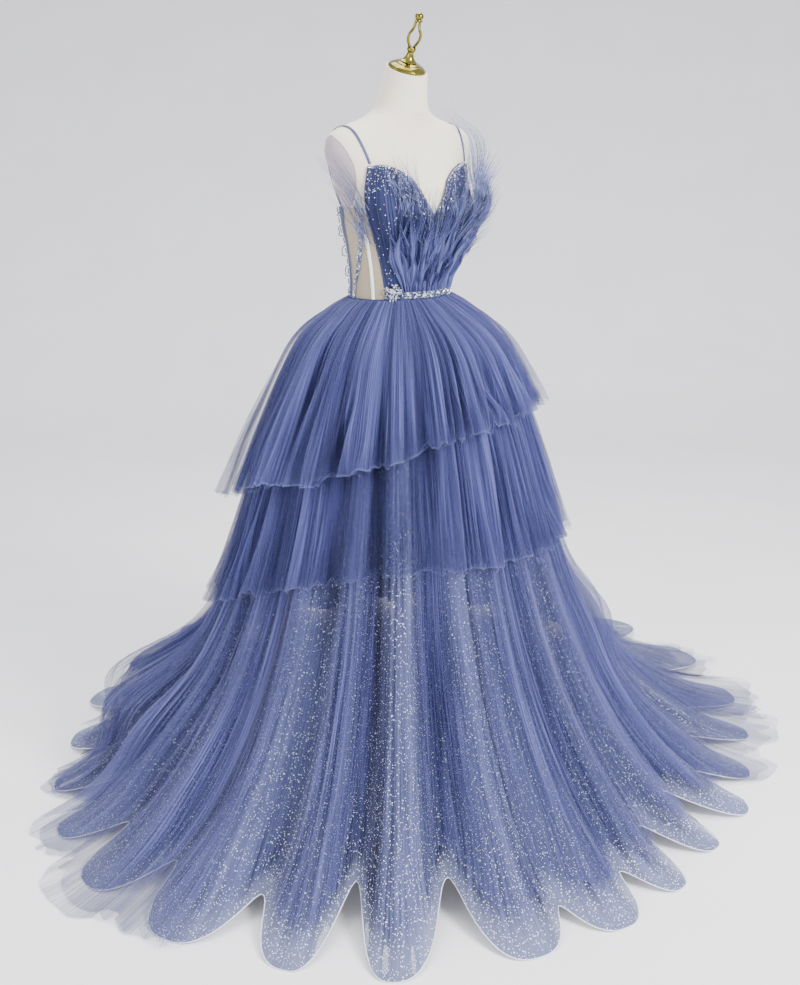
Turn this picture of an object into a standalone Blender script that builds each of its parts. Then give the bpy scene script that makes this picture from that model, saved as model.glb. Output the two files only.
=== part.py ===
"""A tiered tulle ballroom gown on a limbless dress form with a turned metal finial.

Metres, +Z up. The origin is the centre of the stand's underside, on the floor. The gown's front
faces -Y and the side of the left arm is +X. An angle round the body is measured in degrees from
the front (-Y) towards +X.
"""

import math
import random

import bmesh
import bpy
from mathutils import Matrix, Vector

# Driving sizes

WAIST_Z = 1.122             # height of the seam between bodice and skirt
TULLE = 0.0012              # wall of a skirt layer
BODICE_WALL = 0.0015        # wall of the bodice panels
SEAM_GAP = 0.0003           # clearance between neighbouring pieces
BODICE_CLEAR = 0.0024       # clearance between the form and the bodice
BELT_HEIGHT = 0.018
HEM_REST = 0.0009           # height of the middle of a wall that lies on the floor

STAND_RADIUS = 0.155
STAND_THICK = 0.012
POLE_RADIUS = 0.0125
FORM_BOTTOM = 0.865

# The form, section by section: height, half width, depth to the front, depth to the back,
# forward shift of the centre, and forward tilt of the section in degrees.
FORM_SECTIONS = (
    # height, side, front, back, shift, tilt
    (0.865, 0.146, 0.094, 0.106, 0.000, 0),
    (0.885, 0.166, 0.112, 0.126, 0.000, 0),
    (0.950, 0.172, 0.117, 0.132, 0.000, 0),
    (1.020, 0.150, 0.106, 0.112, 0.000, 0),
    (1.080, 0.125, 0.093, 0.088, 0.000, 0),
    (1.125, 0.116, 0.087, 0.082, 0.000, 0),
    (1.180, 0.119, 0.091, 0.075, 0.000, 0),
    (1.230, 0.127, 0.097, 0.075, 0.000, 0),
    (1.270, 0.136, 0.102, 0.087, 0.000, 0),
    (1.310, 0.143, 0.106, 0.096, 0.000, 0),
    (1.350, 0.153, 0.104, 0.102, 0.000, 0),
    (1.400, 0.173, 0.092, 0.104, 0.000, 0),
    (1.435, 0.185, 0.078, 0.098, 0.000, 0),
    (1.455, 0.184, 0.068, 0.086, 0.000, 0),
    (1.470, 0.173, 0.060, 0.074, 0.000, 0),
    (1.482, 0.149, 0.055, 0.065, 0.001, 1),
    (1.492, 0.116, 0.052, 0.060, 0.002, 2),
    (1.503, 0.085, 0.052, 0.057, 0.003, 4),
    (1.520, 0.062, 0.053, 0.053, 0.005, 7),
    (1.545, 0.054, 0.049, 0.049, 0.010, 12),
    (1.575, 0.048, 0.046, 0.046, 0.017, 18),
    (1.600, 0.044, 0.043, 0.043, 0.023, 22),
)
FORM_SIDES = 24

BUST_ANGLE = 36.0           # direction of each cup's fullest point
BUST_HEIGHT = 1.312
BUST_OUT = 0.026
BUST_SPREAD = 25.0
BUST_TALL = 0.052

# Skirt outline from the waist to the floor: height and radius of the fold crests of the base skirt.
SKIRT_OUTLINE = (
    # height, radius
    (0.000, 0.780),
    (0.040, 0.705),
    (0.100, 0.632),
    (0.200, 0.538),
    (0.300, 0.470),
    (0.400, 0.418),
    (0.500, 0.376),
    (0.600, 0.342),
    (0.700, 0.312),
    (0.800, 0.284),
    (0.900, 0.252),
    (1.000, 0.215),
    (1.050, 0.188),
    (1.080, 0.165),
    (1.100, 0.147),
    (1.116, 0.1225),
    (1.122, 0.116),
)
ROUND_BELOW = 0.98          # below this height the skirt's plan is round

# Floor radius of the base skirt's hem, by direction.
HEM_RADIUS = (
    # angle, radius
    (-180, 1.06), (-160, 0.92), (-140, 0.83), (-120, 0.80), (-100, 0.81), (-70, 0.80),
    (-40, 0.79), (-10, 0.78), (20, 0.76), (40, 0.80), (60, 0.87), (80, 1.00), (100, 1.08),
    (125, 1.14), (150, 1.16), (180, 1.06),
)
TRAIN_BELOW = 0.46          # the train starts to leave the round outline below this height

# Depth of a fold, crest to trough, by height.
FOLD_DEPTH = (
    (0.000, 0.082), (0.050, 0.076), (0.150, 0.062), (0.300, 0.045), (0.500, 0.032),
    (0.700, 0.024), (0.900, 0.017), (1.050, 0.009), (1.110, 0.003), (1.122, 0.0010),
)

FOLD_PINCH = 1.35           # above 1 the crests are broad and the troughs narrow

# The folds round the skirt: direction of the crest, then depth share and hem lift of the trough after it.
FOLDS = (
    # angle, depth, lift
    (-166, 0.9, 0.045),
    (-151, 1.0, 0.055),
    (-136, 0.7, 0.040),
    (-120, 1.1, 0.060),
    (-105, 0.7, 0.040),
    (-90, 0.8, 0.045),
    (-71, 0.9, 0.040),
    (-53, 1.2, 0.065),
    (-39, 1.25, 0.065),
    (-19, 0.5, 0.025),
    (-4, 0.6, 0.030),
    (10, 0.8, 0.045),
    (23, 1.0, 0.060),
    (36, 0.9, 0.045),
    (48, 0.8, 0.050),
    (61, 0.8, 0.040),
    (74, 1.0, 0.055),
    (89, 0.9, 0.045),
    (104, 1.1, 0.055),
    (120, 0.8, 0.050),
    (135, 1.0, 0.060),
    (150, 1.1, 0.050),
    (164, 0.9, 0.050),
    (179, 1.0, 0.055),
)
FRONT_FROM, FRONT_TO = 4.5, 17.5    # the side seams, counted in folds, each in a trough

# How far each layer stands off the base skirt, by height.
FLOOR_TIER_OFF = (
    (0.000, 0.0180), (0.300, 0.0140), (0.900, 0.0110), (1.030, 0.0070), (1.090, 0.0034), (1.112, 0.0022),
    (1.122, 0.0026),
)
MIDDLE_TIER_OFF = (
    (0.300, 0.0440), (0.500, 0.0350), (0.700, 0.0280), (0.900, 0.0220), (1.030, 0.0140), (1.090, 0.0068),
    (1.112, 0.0044), (1.122, 0.0052),
)
TOP_TIER_OFF = (
    (0.600, 0.1000), (0.790, 0.0700), (0.870, 0.0560), (0.930, 0.0460), (1.030, 0.0300), (1.090, 0.0115),
    (1.112, 0.0070), (1.122, 0.0082),
)
FLOOR_TIER_FOLDS = 0.92     # share of the base skirt's folds that the floor tier follows
SQUARE_FROM = (0.55, 0.95)  # between these heights the offset turns from level to square to the cloth
SQUARE_TO = 0.010           # and over this distance below the waist it turns level again

# Where the floor tier puffs out beyond the skirt's outline: direction, spread, height, height's spread, distance.
FLOOR_PUFFS = (
    # angle, spread, height, tall, out
    (-130.0, 22.0, 0.200, 0.095, 0.130),
    (52.0, 14.0, 0.400, 0.075, 0.045),
)
# How far the floor tier's cut edge spreads over the floor beyond the base skirt's hem, by direction.
FLOOR_SPREAD = (
    (-180, 0.0), (-114, 0.0), (-100, 0.050), (-80, 0.075), (-68, 0.010), (-60, 0.0), (36, 0.0), (50, 0.055),
    (70, 0.060), (90, 0.010), (100, 0.0), (180, 0.0),
)
SPREAD_BELOW = 0.12         # the spreading starts below this height
# Height of the floor tier's cut edge, by direction: it lies on the floor at both sides and hangs free elsewhere.
FLOOR_HEM = (
    (-180, 0.060), (-150, 0.050), (-122, 0.0009), (-76, 0.0009), (-58, 0.045), (-20, 0.055), (20, 0.055),
    (38, 0.045), (50, 0.0009), (84, 0.0009), (110, 0.050), (150, 0.060), (180, 0.060),
)
# Height of the two upper hems, by direction: short in front and long behind.
TOP_HEM = (
    (-180, 0.625), (-141, 0.640), (-110, 0.700), (-87, 0.745), (-60, 0.785), (-39, 0.815), (-26, 0.842),
    (-8, 0.860), (20, 0.873), (52, 0.872), (90, 0.800), (135, 0.680), (180, 0.625),
)
MIDDLE_HEM = (
    (-180, 0.400), (-128, 0.420), (-95, 0.500), (-63, 0.573), (-38, 0.602), (-17, 0.606), (20, 0.600),
    (52, 0.592), (90, 0.540), (135, 0.450), (180, 0.400),
)

# Edges of the bodice panels on one side, as angles, and the line of the bone in the side panel.
PANEL_EDGES = (
    # height, front edge, beaded seam, back edge, bone
    (1.123, 47.0, 95.0, 108.0, 60.0),
    (1.145, 48.5, 92.0, 108.5, 60.5),
    (1.200, 53.0, 80.0, 107.5, 62.0),
    (1.265, 58.0, 71.0, 104.0, 63.5),
    (1.320, 61.0, 66.5, 99.0, 66.0),
    (1.345, 60.0, 67.0, 98.0, 67.0),
    (1.405, 49.0, 60.0, 98.0, 68.0),
)
MESH_TOP = 1.318            # upper edge of the sheer side and back panels
# Neckline: share of the way from the centre to the side, and height.
NECKLINE = ((0.0, 1.300), (0.10, 1.326), (0.28, 1.374), (0.50, 1.396), (0.75, 1.406), (1.0, 1.403))
FRONT_PLEATS = 4
FRONT_ROWS, SIDE_ROWS = 10, 7   # one spacing, so that neighbouring edges run side by side
PLEAT_RIDGE = 0.0022
CUP_CLEAR = 0.0050          # what the padded cups add to the clearance
PANEL_CLEAR = 0.0002        # on each side of the join under the beaded seam
BINDING_WIDTH = 0.0125
BINDING_CLEAR = 0.0005
BINDING_UNDER, BINDING_OVER = 0.0004, 0.0007    # the folded satin is thicker than the net, under and over it
BEAD_HALF = 0.00425         # half the width of the beaded seam cover
BEAD_THICK = 0.0022
BONE_TOP = 1.2625
BONE_WIDTH = 0.0075
BONE_THICK = 0.0012

STRAP_WIDTH = 0.0055
STRAP_THICK = 0.0014
STRAP_TOP_X = {-1: 0.148, 1: 0.134}     # the left strap sits nearer the neck
STRAP_CLEAR = 0.0016
STRAP_STEPS = 17
LACE_THICK = 0.0022
LACE_CROSSINGS = 4
LACE_OVER = 0.0032          # how far one cord passes over the other
LACE_BRIDGE = 0.009         # how far the taut lacing stands off the hollow of the back
LACE_INSET = 2.2            # degrees from the edge of the opening to the cord's turning points
LACE_FROM_TOP, LACE_FROM_WAIST = 0.012, 0.008


def smooth(t):
    """A share from 0 to 1 with a level start and end."""
    t = min(max(t, 0.0), 1.0)
    return t * t * (3 - 2 * t)


def read(table, at, column=1):
    """A value from a table whose first column rises, on a smooth curve through its rows."""
    if at <= table[0][0]:
        return table[0][column]
    if at >= table[-1][0]:
        return table[-1][column]
    i = next(k for k in range(len(table) - 1) if at <= table[k + 1][0])
    x0, x1 = table[i][0], table[i + 1][0]
    y0, y1 = table[i][column], table[i + 1][column]
    width = x1 - x0
    rise = (y1 - y0) / width

    def slope(j):
        if j <= 0 or j >= len(table) - 1:
            return rise
        before = (table[j][column] - table[j - 1][column]) / (table[j][0] - table[j - 1][0])
        after = (table[j + 1][column] - table[j][column]) / (table[j + 1][0] - table[j][0])
        return 0.0 if before * after <= 0 else 2 * before * after / (before + after)

    t = (at - x0) / width
    return (
        y0 * (1 + 2 * t) * (1 - t) ** 2
        + y1 * t * t * (3 - 2 * t)
        + slope(i) * width * t * (1 - t) ** 2
        - slope(i + 1) * width * t * t * (1 - t)
    )


def material(name, colour, roughness, metallic=0.0, alpha=1.0):
    made = bpy.data.materials.new(name)
    made.use_nodes = True
    shader = made.node_tree.nodes["Principled BSDF"]
    shader.inputs["Base Color"].default_value = (*colour, 1.0)
    shader.inputs["Roughness"].default_value = roughness
    shader.inputs["Metallic"].default_value = metallic
    shader.inputs["Alpha"].default_value = alpha
    made.diffuse_color = (*colour, alpha)
    return made


def link(name, bm, finish, flat_angle=40):
    """An object from a bmesh, shaded smooth but for its sharp edges."""
    bmesh.ops.remove_doubles(bm, verts=bm.verts, dist=1e-7)
    mesh = bpy.data.meshes.new(name)
    bm.to_mesh(mesh)
    bm.free()
    mesh.materials.append(finish)
    mesh.shade_smooth()
    mesh.set_sharp_from_angle(angle=math.radians(flat_angle))
    made = bpy.data.objects.new(name, mesh)
    bpy.context.scene.collection.objects.link(made)
    return made


def double_wall(name, inner, outer, finish):
    """A closed wall between two grids of points, each a list of rows from the bottom up."""
    bm = bmesh.new()
    inside = [[bm.verts.new(p) for p in row] for row in inner]
    outside = [[bm.verts.new(p) for p in row] for row in outer]
    rows, columns = len(inner), len(inner[0])
    for i in range(rows - 1):
        for j in range(columns - 1):
            bm.faces.new((outside[i][j], outside[i][j + 1], outside[i + 1][j + 1], outside[i + 1][j]))
            bm.faces.new((inside[i][j], inside[i + 1][j], inside[i + 1][j + 1], inside[i][j + 1]))
    around = (
        [(0, j) for j in range(columns)]
        + [(i, columns - 1) for i in range(1, rows)]
        + [(rows - 1, j) for j in range(columns - 2, -1, -1)]
        + [(i, 0) for i in range(rows - 2, 0, -1)]
    )
    for a, b in zip(around, around[1:] + around[:1]):
        bm.faces.new((outside[a[0]][a[1]], inside[a[0]][a[1]], inside[b[0]][b[1]], outside[b[0]][b[1]]))
    bmesh.ops.recalc_face_normals(bm, faces=bm.faces)
    return link(name, bm, finish)


def tube(name, path, across, finish):
    """A closed tube through the points of a path. across gives a ring of offsets for each point."""
    bm = bmesh.new()
    rings = [[bm.verts.new(p + o) for o in across(k)] for k, p in enumerate(path)]
    count = len(rings[0])
    for a, b in zip(rings, rings[1:]):
        for j in range(count):
            bm.faces.new((a[j], a[(j + 1) % count], b[(j + 1) % count], b[j]))
    bm.faces.new(rings[0][::-1])
    bm.faces.new(rings[-1])
    bmesh.ops.recalc_face_normals(bm, faces=bm.faces)
    return link(name, bm, finish)


def even_steps(points, count):
    """count points at even distances along a path."""
    lengths = [0.0]
    for a, b in zip(points, points[1:]):
        lengths.append(lengths[-1] + (b - a).length)
    found = []
    for k in range(count):
        want = lengths[-1] * k / (count - 1)
        i = next((n for n in range(len(lengths) - 1) if lengths[n + 1] >= want), len(lengths) - 2)
        share = (want - lengths[i]) / max(lengths[i + 1] - lengths[i], 1e-9)
        found.append(points[i].lerp(points[i + 1], min(share, 1.0)))
    return found


# The body that the bodice is cut for

def section(z):
    """Half width, front depth, back depth and forward shift of the form at a height."""
    return tuple(read(FORM_SECTIONS, z, column) for column in (1, 2, 3, 4))


def bust(angle, z):
    """How far the cups stand out of the plain section."""
    tall = math.exp(-(((z - BUST_HEIGHT) / BUST_TALL) ** 2))
    return BUST_OUT * tall * sum(
        math.exp(-(((angle - side * BUST_ANGLE) / BUST_SPREAD) ** 2)) for side in (-1, 1)
    )


def body_point(angle, z, off=0.0):
    """A point of the form's surface, moved outwards by off."""
    side, front, back, shift = section(z)
    turn = math.radians(angle)
    s, c = math.sin(turn), math.cos(turn)
    depth = front if c > 0 else back
    outward = Vector((s / side, -c / depth, 0)).normalized()
    return Vector((side * s, -depth * c - shift, z)) + outward * (bust(angle, z) + off)


def build_form(finish):
    bm = bmesh.new()
    rings = []
    for z, side, front, back, shift, tilt in FORM_SECTIONS:
        ring = []
        for k in range(FORM_SIDES):
            angle = 360 * k / FORM_SIDES
            angle = angle - 360 if angle > 180 else angle
            point = body_point(angle, z)
            point.z += math.tan(math.radians(tilt)) * (point.y + shift)
            ring.append(bm.verts.new(point))
        rings.append(ring)
    for low, high in zip(rings, rings[1:]):
        for k in range(FORM_SIDES):
            after = (k + 1) % FORM_SIDES
            bm.faces.new((low[k], low[after], high[after], high[k]))
    bm.faces.new(rings[0][::-1])
    bm.faces.new(rings[-1])
    return link("form_torso", bm, finish)


def turned(name, outline, sides, finish):
    """A solid turned about Z from (radius, height) points that run from the bottom to the top."""
    bm = bmesh.new()
    corners = [bm.verts.new((radius, 0, height)) for radius, height in outline]
    edges = [bm.edges.new(pair) for pair in zip(corners, corners[1:])]
    bmesh.ops.spin(
        bm, geom=corners + edges, cent=(0, 0, 0), axis=(0, 0, 1), angle=2 * math.pi, steps=sides, use_merge=True
    )
    bmesh.ops.remove_doubles(bm, verts=bm.verts, dist=1e-6)
    bmesh.ops.recalc_face_normals(bm, faces=bm.faces)
    return link(name, bm, finish)


def build_stand(finish):
    rim = 0.003
    turned(
        "stand_base",
        (
            (0, 0), (STAND_RADIUS - rim, 0), (STAND_RADIUS, rim), (STAND_RADIUS, STAND_THICK - rim),
            (STAND_RADIUS - rim, STAND_THICK), (0, STAND_THICK),
        ),
        28,
        finish,
    )
    low, high = STAND_THICK + SEAM_GAP, FORM_BOTTOM - SEAM_GAP
    turned("stand_pole", ((0, low), (POLE_RADIUS, low), (POLE_RADIUS, high), (0, high)), 16, finish)


FINIAL_ARM = (
    # height along the finial, distance from its axis
    (0.0470, 0.0056), (0.0520, 0.0096), (0.0590, 0.0138), (0.0680, 0.0158), (0.0760, 0.0142),
    (0.0840, 0.0086), (0.0920, 0.0062), (0.1010, 0.0052),
)
FINIAL_ARM_RADIUS = 0.0030
CAP_GAP = 0.0005            # clearance under the cap on the form's slanting top


def build_finial(finish):
    """The metal cap on the neck: a dome, a waisted stem, two bowed arms and a ball, on the neck's own axis."""
    z, _, _, _, shift, tilt = FORM_SECTIONS[-1]
    seat = Matrix.Translation((0, -shift, z + CAP_GAP)) @ Matrix.Rotation(math.radians(tilt), 4, "X")
    dome = turned(
        "cap_dome",
        ((0, 0), (0.0400, 0), (0.0410, 0.0020), (0.0385, 0.0055), (0.0300, 0.0105), (0.0200, 0.0145), (0, 0.0145)),
        24,
        finish,
    )
    stem = turned(
        "finial_stem",
        (
            (0, 0.0148), (0.0165, 0.0148), (0.0175, 0.0170), (0.0120, 0.0215), (0.0080, 0.0290),
            (0.0068, 0.0360), (0.0095, 0.0410), (0.0090, 0.0455), (0.0078, 0.0464), (0, 0.0464),
        ),
        16,
        finish,
    )
    knob = turned(
        "finial_knob",
        (
            (0, 0.1014), (0.0086, 0.1014), (0.0092, 0.1032), (0.0066, 0.1055), (0.0086, 0.1090),
            (0.0090, 0.1130), (0.0062, 0.1172), (0.0024, 0.1195), (0, 0.1200),
        ),
        16,
        finish,
    )
    made = [dome, stem, knob]
    for name, side in (("finial_arm_right", -1), ("finial_arm_left", 1)):
        path = [Vector((side * out, 0, up)) for up, out in FINIAL_ARM]
        ring = [
            Vector((math.cos(math.pi * k / 3), math.sin(math.pi * k / 3), 0)) * FINIAL_ARM_RADIUS for k in range(6)
        ]
        made.append(tube(name, path, lambda k, ring=ring: ring, finish))
    for piece in made:
        piece.matrix_world = seat


# The skirt layers

def fold_angle(count):
    """Direction of a place round the skirt, counted in folds from the first crest."""
    whole = math.floor(count)
    share = count - whole
    here = FOLDS[whole % len(FOLDS)][0] + 360 * (whole // len(FOLDS))
    after = FOLDS[(whole + 1) % len(FOLDS)][0] + 360 * ((whole + 1) // len(FOLDS))
    return here + (after - here) * share


def turn_into_range(angle):
    return (angle + 180) % 360 - 180


def fold_dip(count):
    """0 at a crest, and up to the depth share of the fold in its trough."""
    share = count - math.floor(count)
    return FOLDS[math.floor(count) % len(FOLDS)][1] * ((1 - math.cos(2 * math.pi * share)) / 2) ** FOLD_PINCH


def hem_lift(count):
    """How far the stiff hem of the base skirt rises off the floor: nothing at a crest, most in a trough."""
    share = count - math.floor(count)
    return FOLDS[math.floor(count) % len(FOLDS)][2] * ((1 - math.cos(2 * math.pi * share)) / 2) ** FOLD_PINCH


def skirt_radius(count, z, fold_share=1.0):
    """Distance of the base skirt's middle from the axis at a place round it and a height."""
    angle = turn_into_range(fold_angle(count))
    turn = math.radians(angle)
    s, c = math.sin(turn), math.cos(turn)
    side, front, back, _ = section(WAIST_Z)
    depth = front if c > 0 else back
    waist = 1 / math.sqrt((s / side) ** 2 + (c / depth) ** 2)
    level = smooth((WAIST_Z - z) / (WAIST_Z - ROUND_BELOW))
    plan = waist + (side - waist) * level
    train = max(0.0, 1 - z / TRAIN_BELOW) ** 2.4
    return (
        plan
        + BODICE_CLEAR
        + TULLE / 2
        + read(SKIRT_OUTLINE, z)
        - side
        + (read(HEM_RADIUS, angle) - read(SKIRT_OUTLINE, 0)) * train
        - read(FOLD_DEPTH, z) * fold_dip(count) * fold_share
    )


def skirt_point(count, z, off_table=None, fold_share=1.0):
    """A point of a skirt layer, off the base skirt by its table."""
    radius = skirt_radius(count, z, fold_share)
    if off_table:
        off = read(off_table, z)
        step = 0.002
        high = min(z + step, WAIST_Z)
        gain = skirt_radius(count, high, fold_share) - skirt_radius(count, z - step, fold_share)
        slope = gain / (high - z + step)
        square = smooth((z - SQUARE_FROM[0]) / (SQUARE_FROM[1] - SQUARE_FROM[0]))
        square *= smooth((WAIST_Z - z) / SQUARE_TO)
        tilt = math.atan(-slope) * square
        radius += off * math.cos(tilt)
        z += off * math.sin(tilt)
    turn = math.radians(fold_angle(count))
    return Vector((radius * math.sin(turn), -radius * math.cos(turn), z))


def floor_tier_point(count, z):
    """A point of the floor tier, with its puffs and where it spreads over the floor."""
    point = skirt_point(count, z, FLOOR_TIER_OFF, FLOOR_TIER_FOLDS)
    angle = turn_into_range(fold_angle(count))
    out = read(FLOOR_SPREAD, angle) * max(0.0, 1 - z / SPREAD_BELOW) ** 2
    for middle, spread, height, tall, far in FLOOR_PUFFS:
        out += far * math.exp(-(((angle - middle) / spread) ** 2) - ((z - height) / tall) ** 2) * smooth(z / 0.10)
    turn = math.radians(fold_angle(count))
    return point + Vector((math.sin(turn), -math.cos(turn), 0)) * out


def stitch(bm, upper, lower):
    """Faces between two rows of (place, vertex), whose counts may differ."""
    i = j = 0
    while i < len(upper) - 1 or j < len(lower) - 1:
        step_upper = upper[i + 1][0] if i < len(upper) - 1 else math.inf
        step_lower = lower[j + 1][0] if j < len(lower) - 1 else math.inf
        if abs(step_upper - step_lower) < 1e-6:
            bm.faces.new((upper[i][1], lower[j][1], lower[j + 1][1], upper[i + 1][1]))
            i, j = i + 1, j + 1
        elif step_lower < step_upper:
            bm.faces.new((upper[i][1], lower[j][1], lower[j + 1][1]))
            j += 1
        else:
            bm.faces.new((upper[i][1], lower[j][1], upper[i + 1][1]))
            i += 1


def skirt_layer(name, rows, surface, finish, thickness=TULLE, halves=True):
    """One layer, as a front and a back or as one ring. A row is (shares of a fold, height by place)."""
    spans = ((f"{name}_front", FRONT_FROM, FRONT_TO), (f"{name}_back", FRONT_TO, FRONT_FROM + len(FOLDS)))
    if not halves:
        spans = ((name, FRONT_FROM, FRONT_FROM + len(FOLDS)),)
    for half, start, end in spans:
        bm = bmesh.new()
        squares = {}
        previous = None
        for shares, height in rows:
            places = [start + fold + share for fold in range(round(end - start)) for share in shares]
            if halves:
                places.append(end)
            row = []
            for count in places:
                z = height(count)
                point = surface(count, z)
                turn = math.radians(fold_angle(count))
                along = Vector((math.cos(turn), math.sin(turn), 0))
                sideways = surface(count + 0.02, z) - surface(count - 0.02, z)
                upwards = surface(count, z) - surface(count, z - 0.002)
                square = sideways.cross(upwards).normalized()
                if halves and count in (start, end):
                    square = (square - along * square.dot(along)).normalized()
                    point += along * (1 if count == start else -1) * SEAM_GAP / 2
                vert = bm.verts.new(point)
                squares[vert] = square
                row.append((count, vert))
            if not halves:
                row.append((end, row[0][1]))
            if previous:
                stitch(bm, previous, row)
            previous = row
        wall(bm, squares, thickness)
        link(half, bm, finish)


def wall(bm, squares, thickness):
    """Turns an open surface into a closed wall, half the thickness to each side along the given directions."""
    faces = list(bm.faces)
    rims = [edge for edge in bm.edges if edge.is_boundary]
    rims = [(edge.link_loops[0].vert, edge.link_loops[0].link_loop_next.vert) for edge in rims]
    inner = {vert: bm.verts.new(vert.co - square * thickness / 2) for vert, square in squares.items()}
    for face in faces:
        first, *others = face.verts
        bm.faces.new([inner[vert] for vert in (first, *reversed(others))])
    for a, b in rims:
        bm.faces.new((b, a, inner[a], inner[b]))
    for vert, square in squares.items():
        vert.co += square * thickness / 2
    bmesh.ops.recalc_face_normals(bm, faces=bm.faces)


def level_at(z):
    return lambda count: z


def share_down(top, hem, share):
    """The height that lies at a share of the way down from a level to a hem."""
    return lambda count: top + (hem(count) - top) * share


def hem_from(table):
    return lambda count: read(table, turn_into_range(fold_angle(count)))


# Where a row has its points in each fold, from one trough to the next.
GATHERED = (0.0, 0.5)
SOFT = (0.0, 0.33, 0.67)
WAVY = (0.0, 0.21, 0.40, 0.60, 0.79)
GATHER_LEVELS = (WAIST_Z, 1.112, 1.085, 0.960)
SPREAD_Z = 0.35             # the skirt spreads to the floor below this height
SPREAD_ROWS = ((SOFT, 0.50), (WAVY, 0.80), (WAVY, 0.93), (WAVY, 1.0))   # the last is the hem
BRAID_EDGES = (0.96, 0.05)  # upper and lower edge of the braid, as shares of the hem's last strip
BRAID_THICK = 0.001
BRAID_CLEAR = 0.0007


def base_hem(count):
    return HEM_REST + hem_lift(count)


def floor_hem(count):
    up = read(FLOOR_HEM, turn_into_range(fold_angle(count)))
    return up + hem_lift(count) * min(up / 0.045, 1.0)


def hem_strip(count, up):
    """A point of the base skirt's lowest strip, from the hem at 0 to the row above it at 1."""
    low = skirt_point(count, base_hem(count))
    high = skirt_point(count, share_down(SPREAD_Z, base_hem, SPREAD_ROWS[-2][1])(count))
    return low.lerp(high, up)


def braid_point(count, up):
    sideways = hem_strip(count + 0.02, up) - hem_strip(count - 0.02, up)
    upwards = hem_strip(count, up + 0.05) - hem_strip(count, up)
    inward = -sideways.cross(upwards).normalized()
    return hem_strip(count, up) + inward * (TULLE / 2 + BRAID_THICK / 2 + BRAID_CLEAR)


def build_skirt(tulle, glitter, braid):
    gathers = [(GATHERED, level_at(z)) for z in GATHER_LEVELS]
    upper = gathers + [(GATHERED, level_at(0.60)), (SOFT, level_at(SPREAD_Z))]
    lower = [(shares, share_down(SPREAD_Z, base_hem, down)) for shares, down in SPREAD_ROWS]

    skirt_layer("skirt_base", upper + lower, skirt_point, glitter)
    skirt_layer("hem_braid", [(WAVY, level_at(up)) for up in BRAID_EDGES], braid_point, braid, BRAID_THICK, False)
    skirt_layer(
        "tier_floor", upper + lower[:2] + [(WAVY, floor_hem)],
        floor_tier_point, tulle,
    )
    skirt_layer(
        "tier_middle", gathers + [(SOFT, level_at(0.76)), (WAVY, hem_from(MIDDLE_HEM))],
        lambda count, z: skirt_point(count, z, MIDDLE_TIER_OFF, 0.95), tulle,
    )
    skirt_layer(
        "tier_top", gathers[:-1] + [(GATHERED, level_at(1.030)), (SOFT, level_at(0.960)), (WAVY, hem_from(TOP_HEM))],
        lambda count, z: skirt_point(count, z, TOP_TIER_OFF, 1.0), tulle,
    )


# The bodice

BODICE_LOW = WAIST_Z + TULLE / 2 + SEAM_GAP
SIDES = (("right", -1), ("left", 1))


def panel(name, side, edges, bottom, top, rows, columns, inner, outer, finish):
    """A panel of the bodice between two edges, given as angles by height."""
    grids = ([], [])
    for i in range(rows + 1):
        for grid, off in zip(grids, (inner, outer)):
            row = []
            for j in range(columns + 1):
                u, v = j / columns, i / rows
                z = bottom + (top(u) - bottom) * v
                low, high = edges[0](z), edges[1](z)
                angle = low + (high - low) * u
                row.append(body_point(side * angle, z, off(u, v, angle, z)))
            grid.append(row)
    return double_wall(name, grids[0], grids[1], finish)


def arc(angle, z, length=SEAM_GAP):
    """The angle that a length takes up along the body's section at a place."""
    side, front, back, _ = section(z)
    turn = math.radians(angle)
    depth = front if math.cos(turn) > 0 else back
    return math.degrees(length / math.hypot(side * math.cos(turn), depth * math.sin(turn)))


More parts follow.
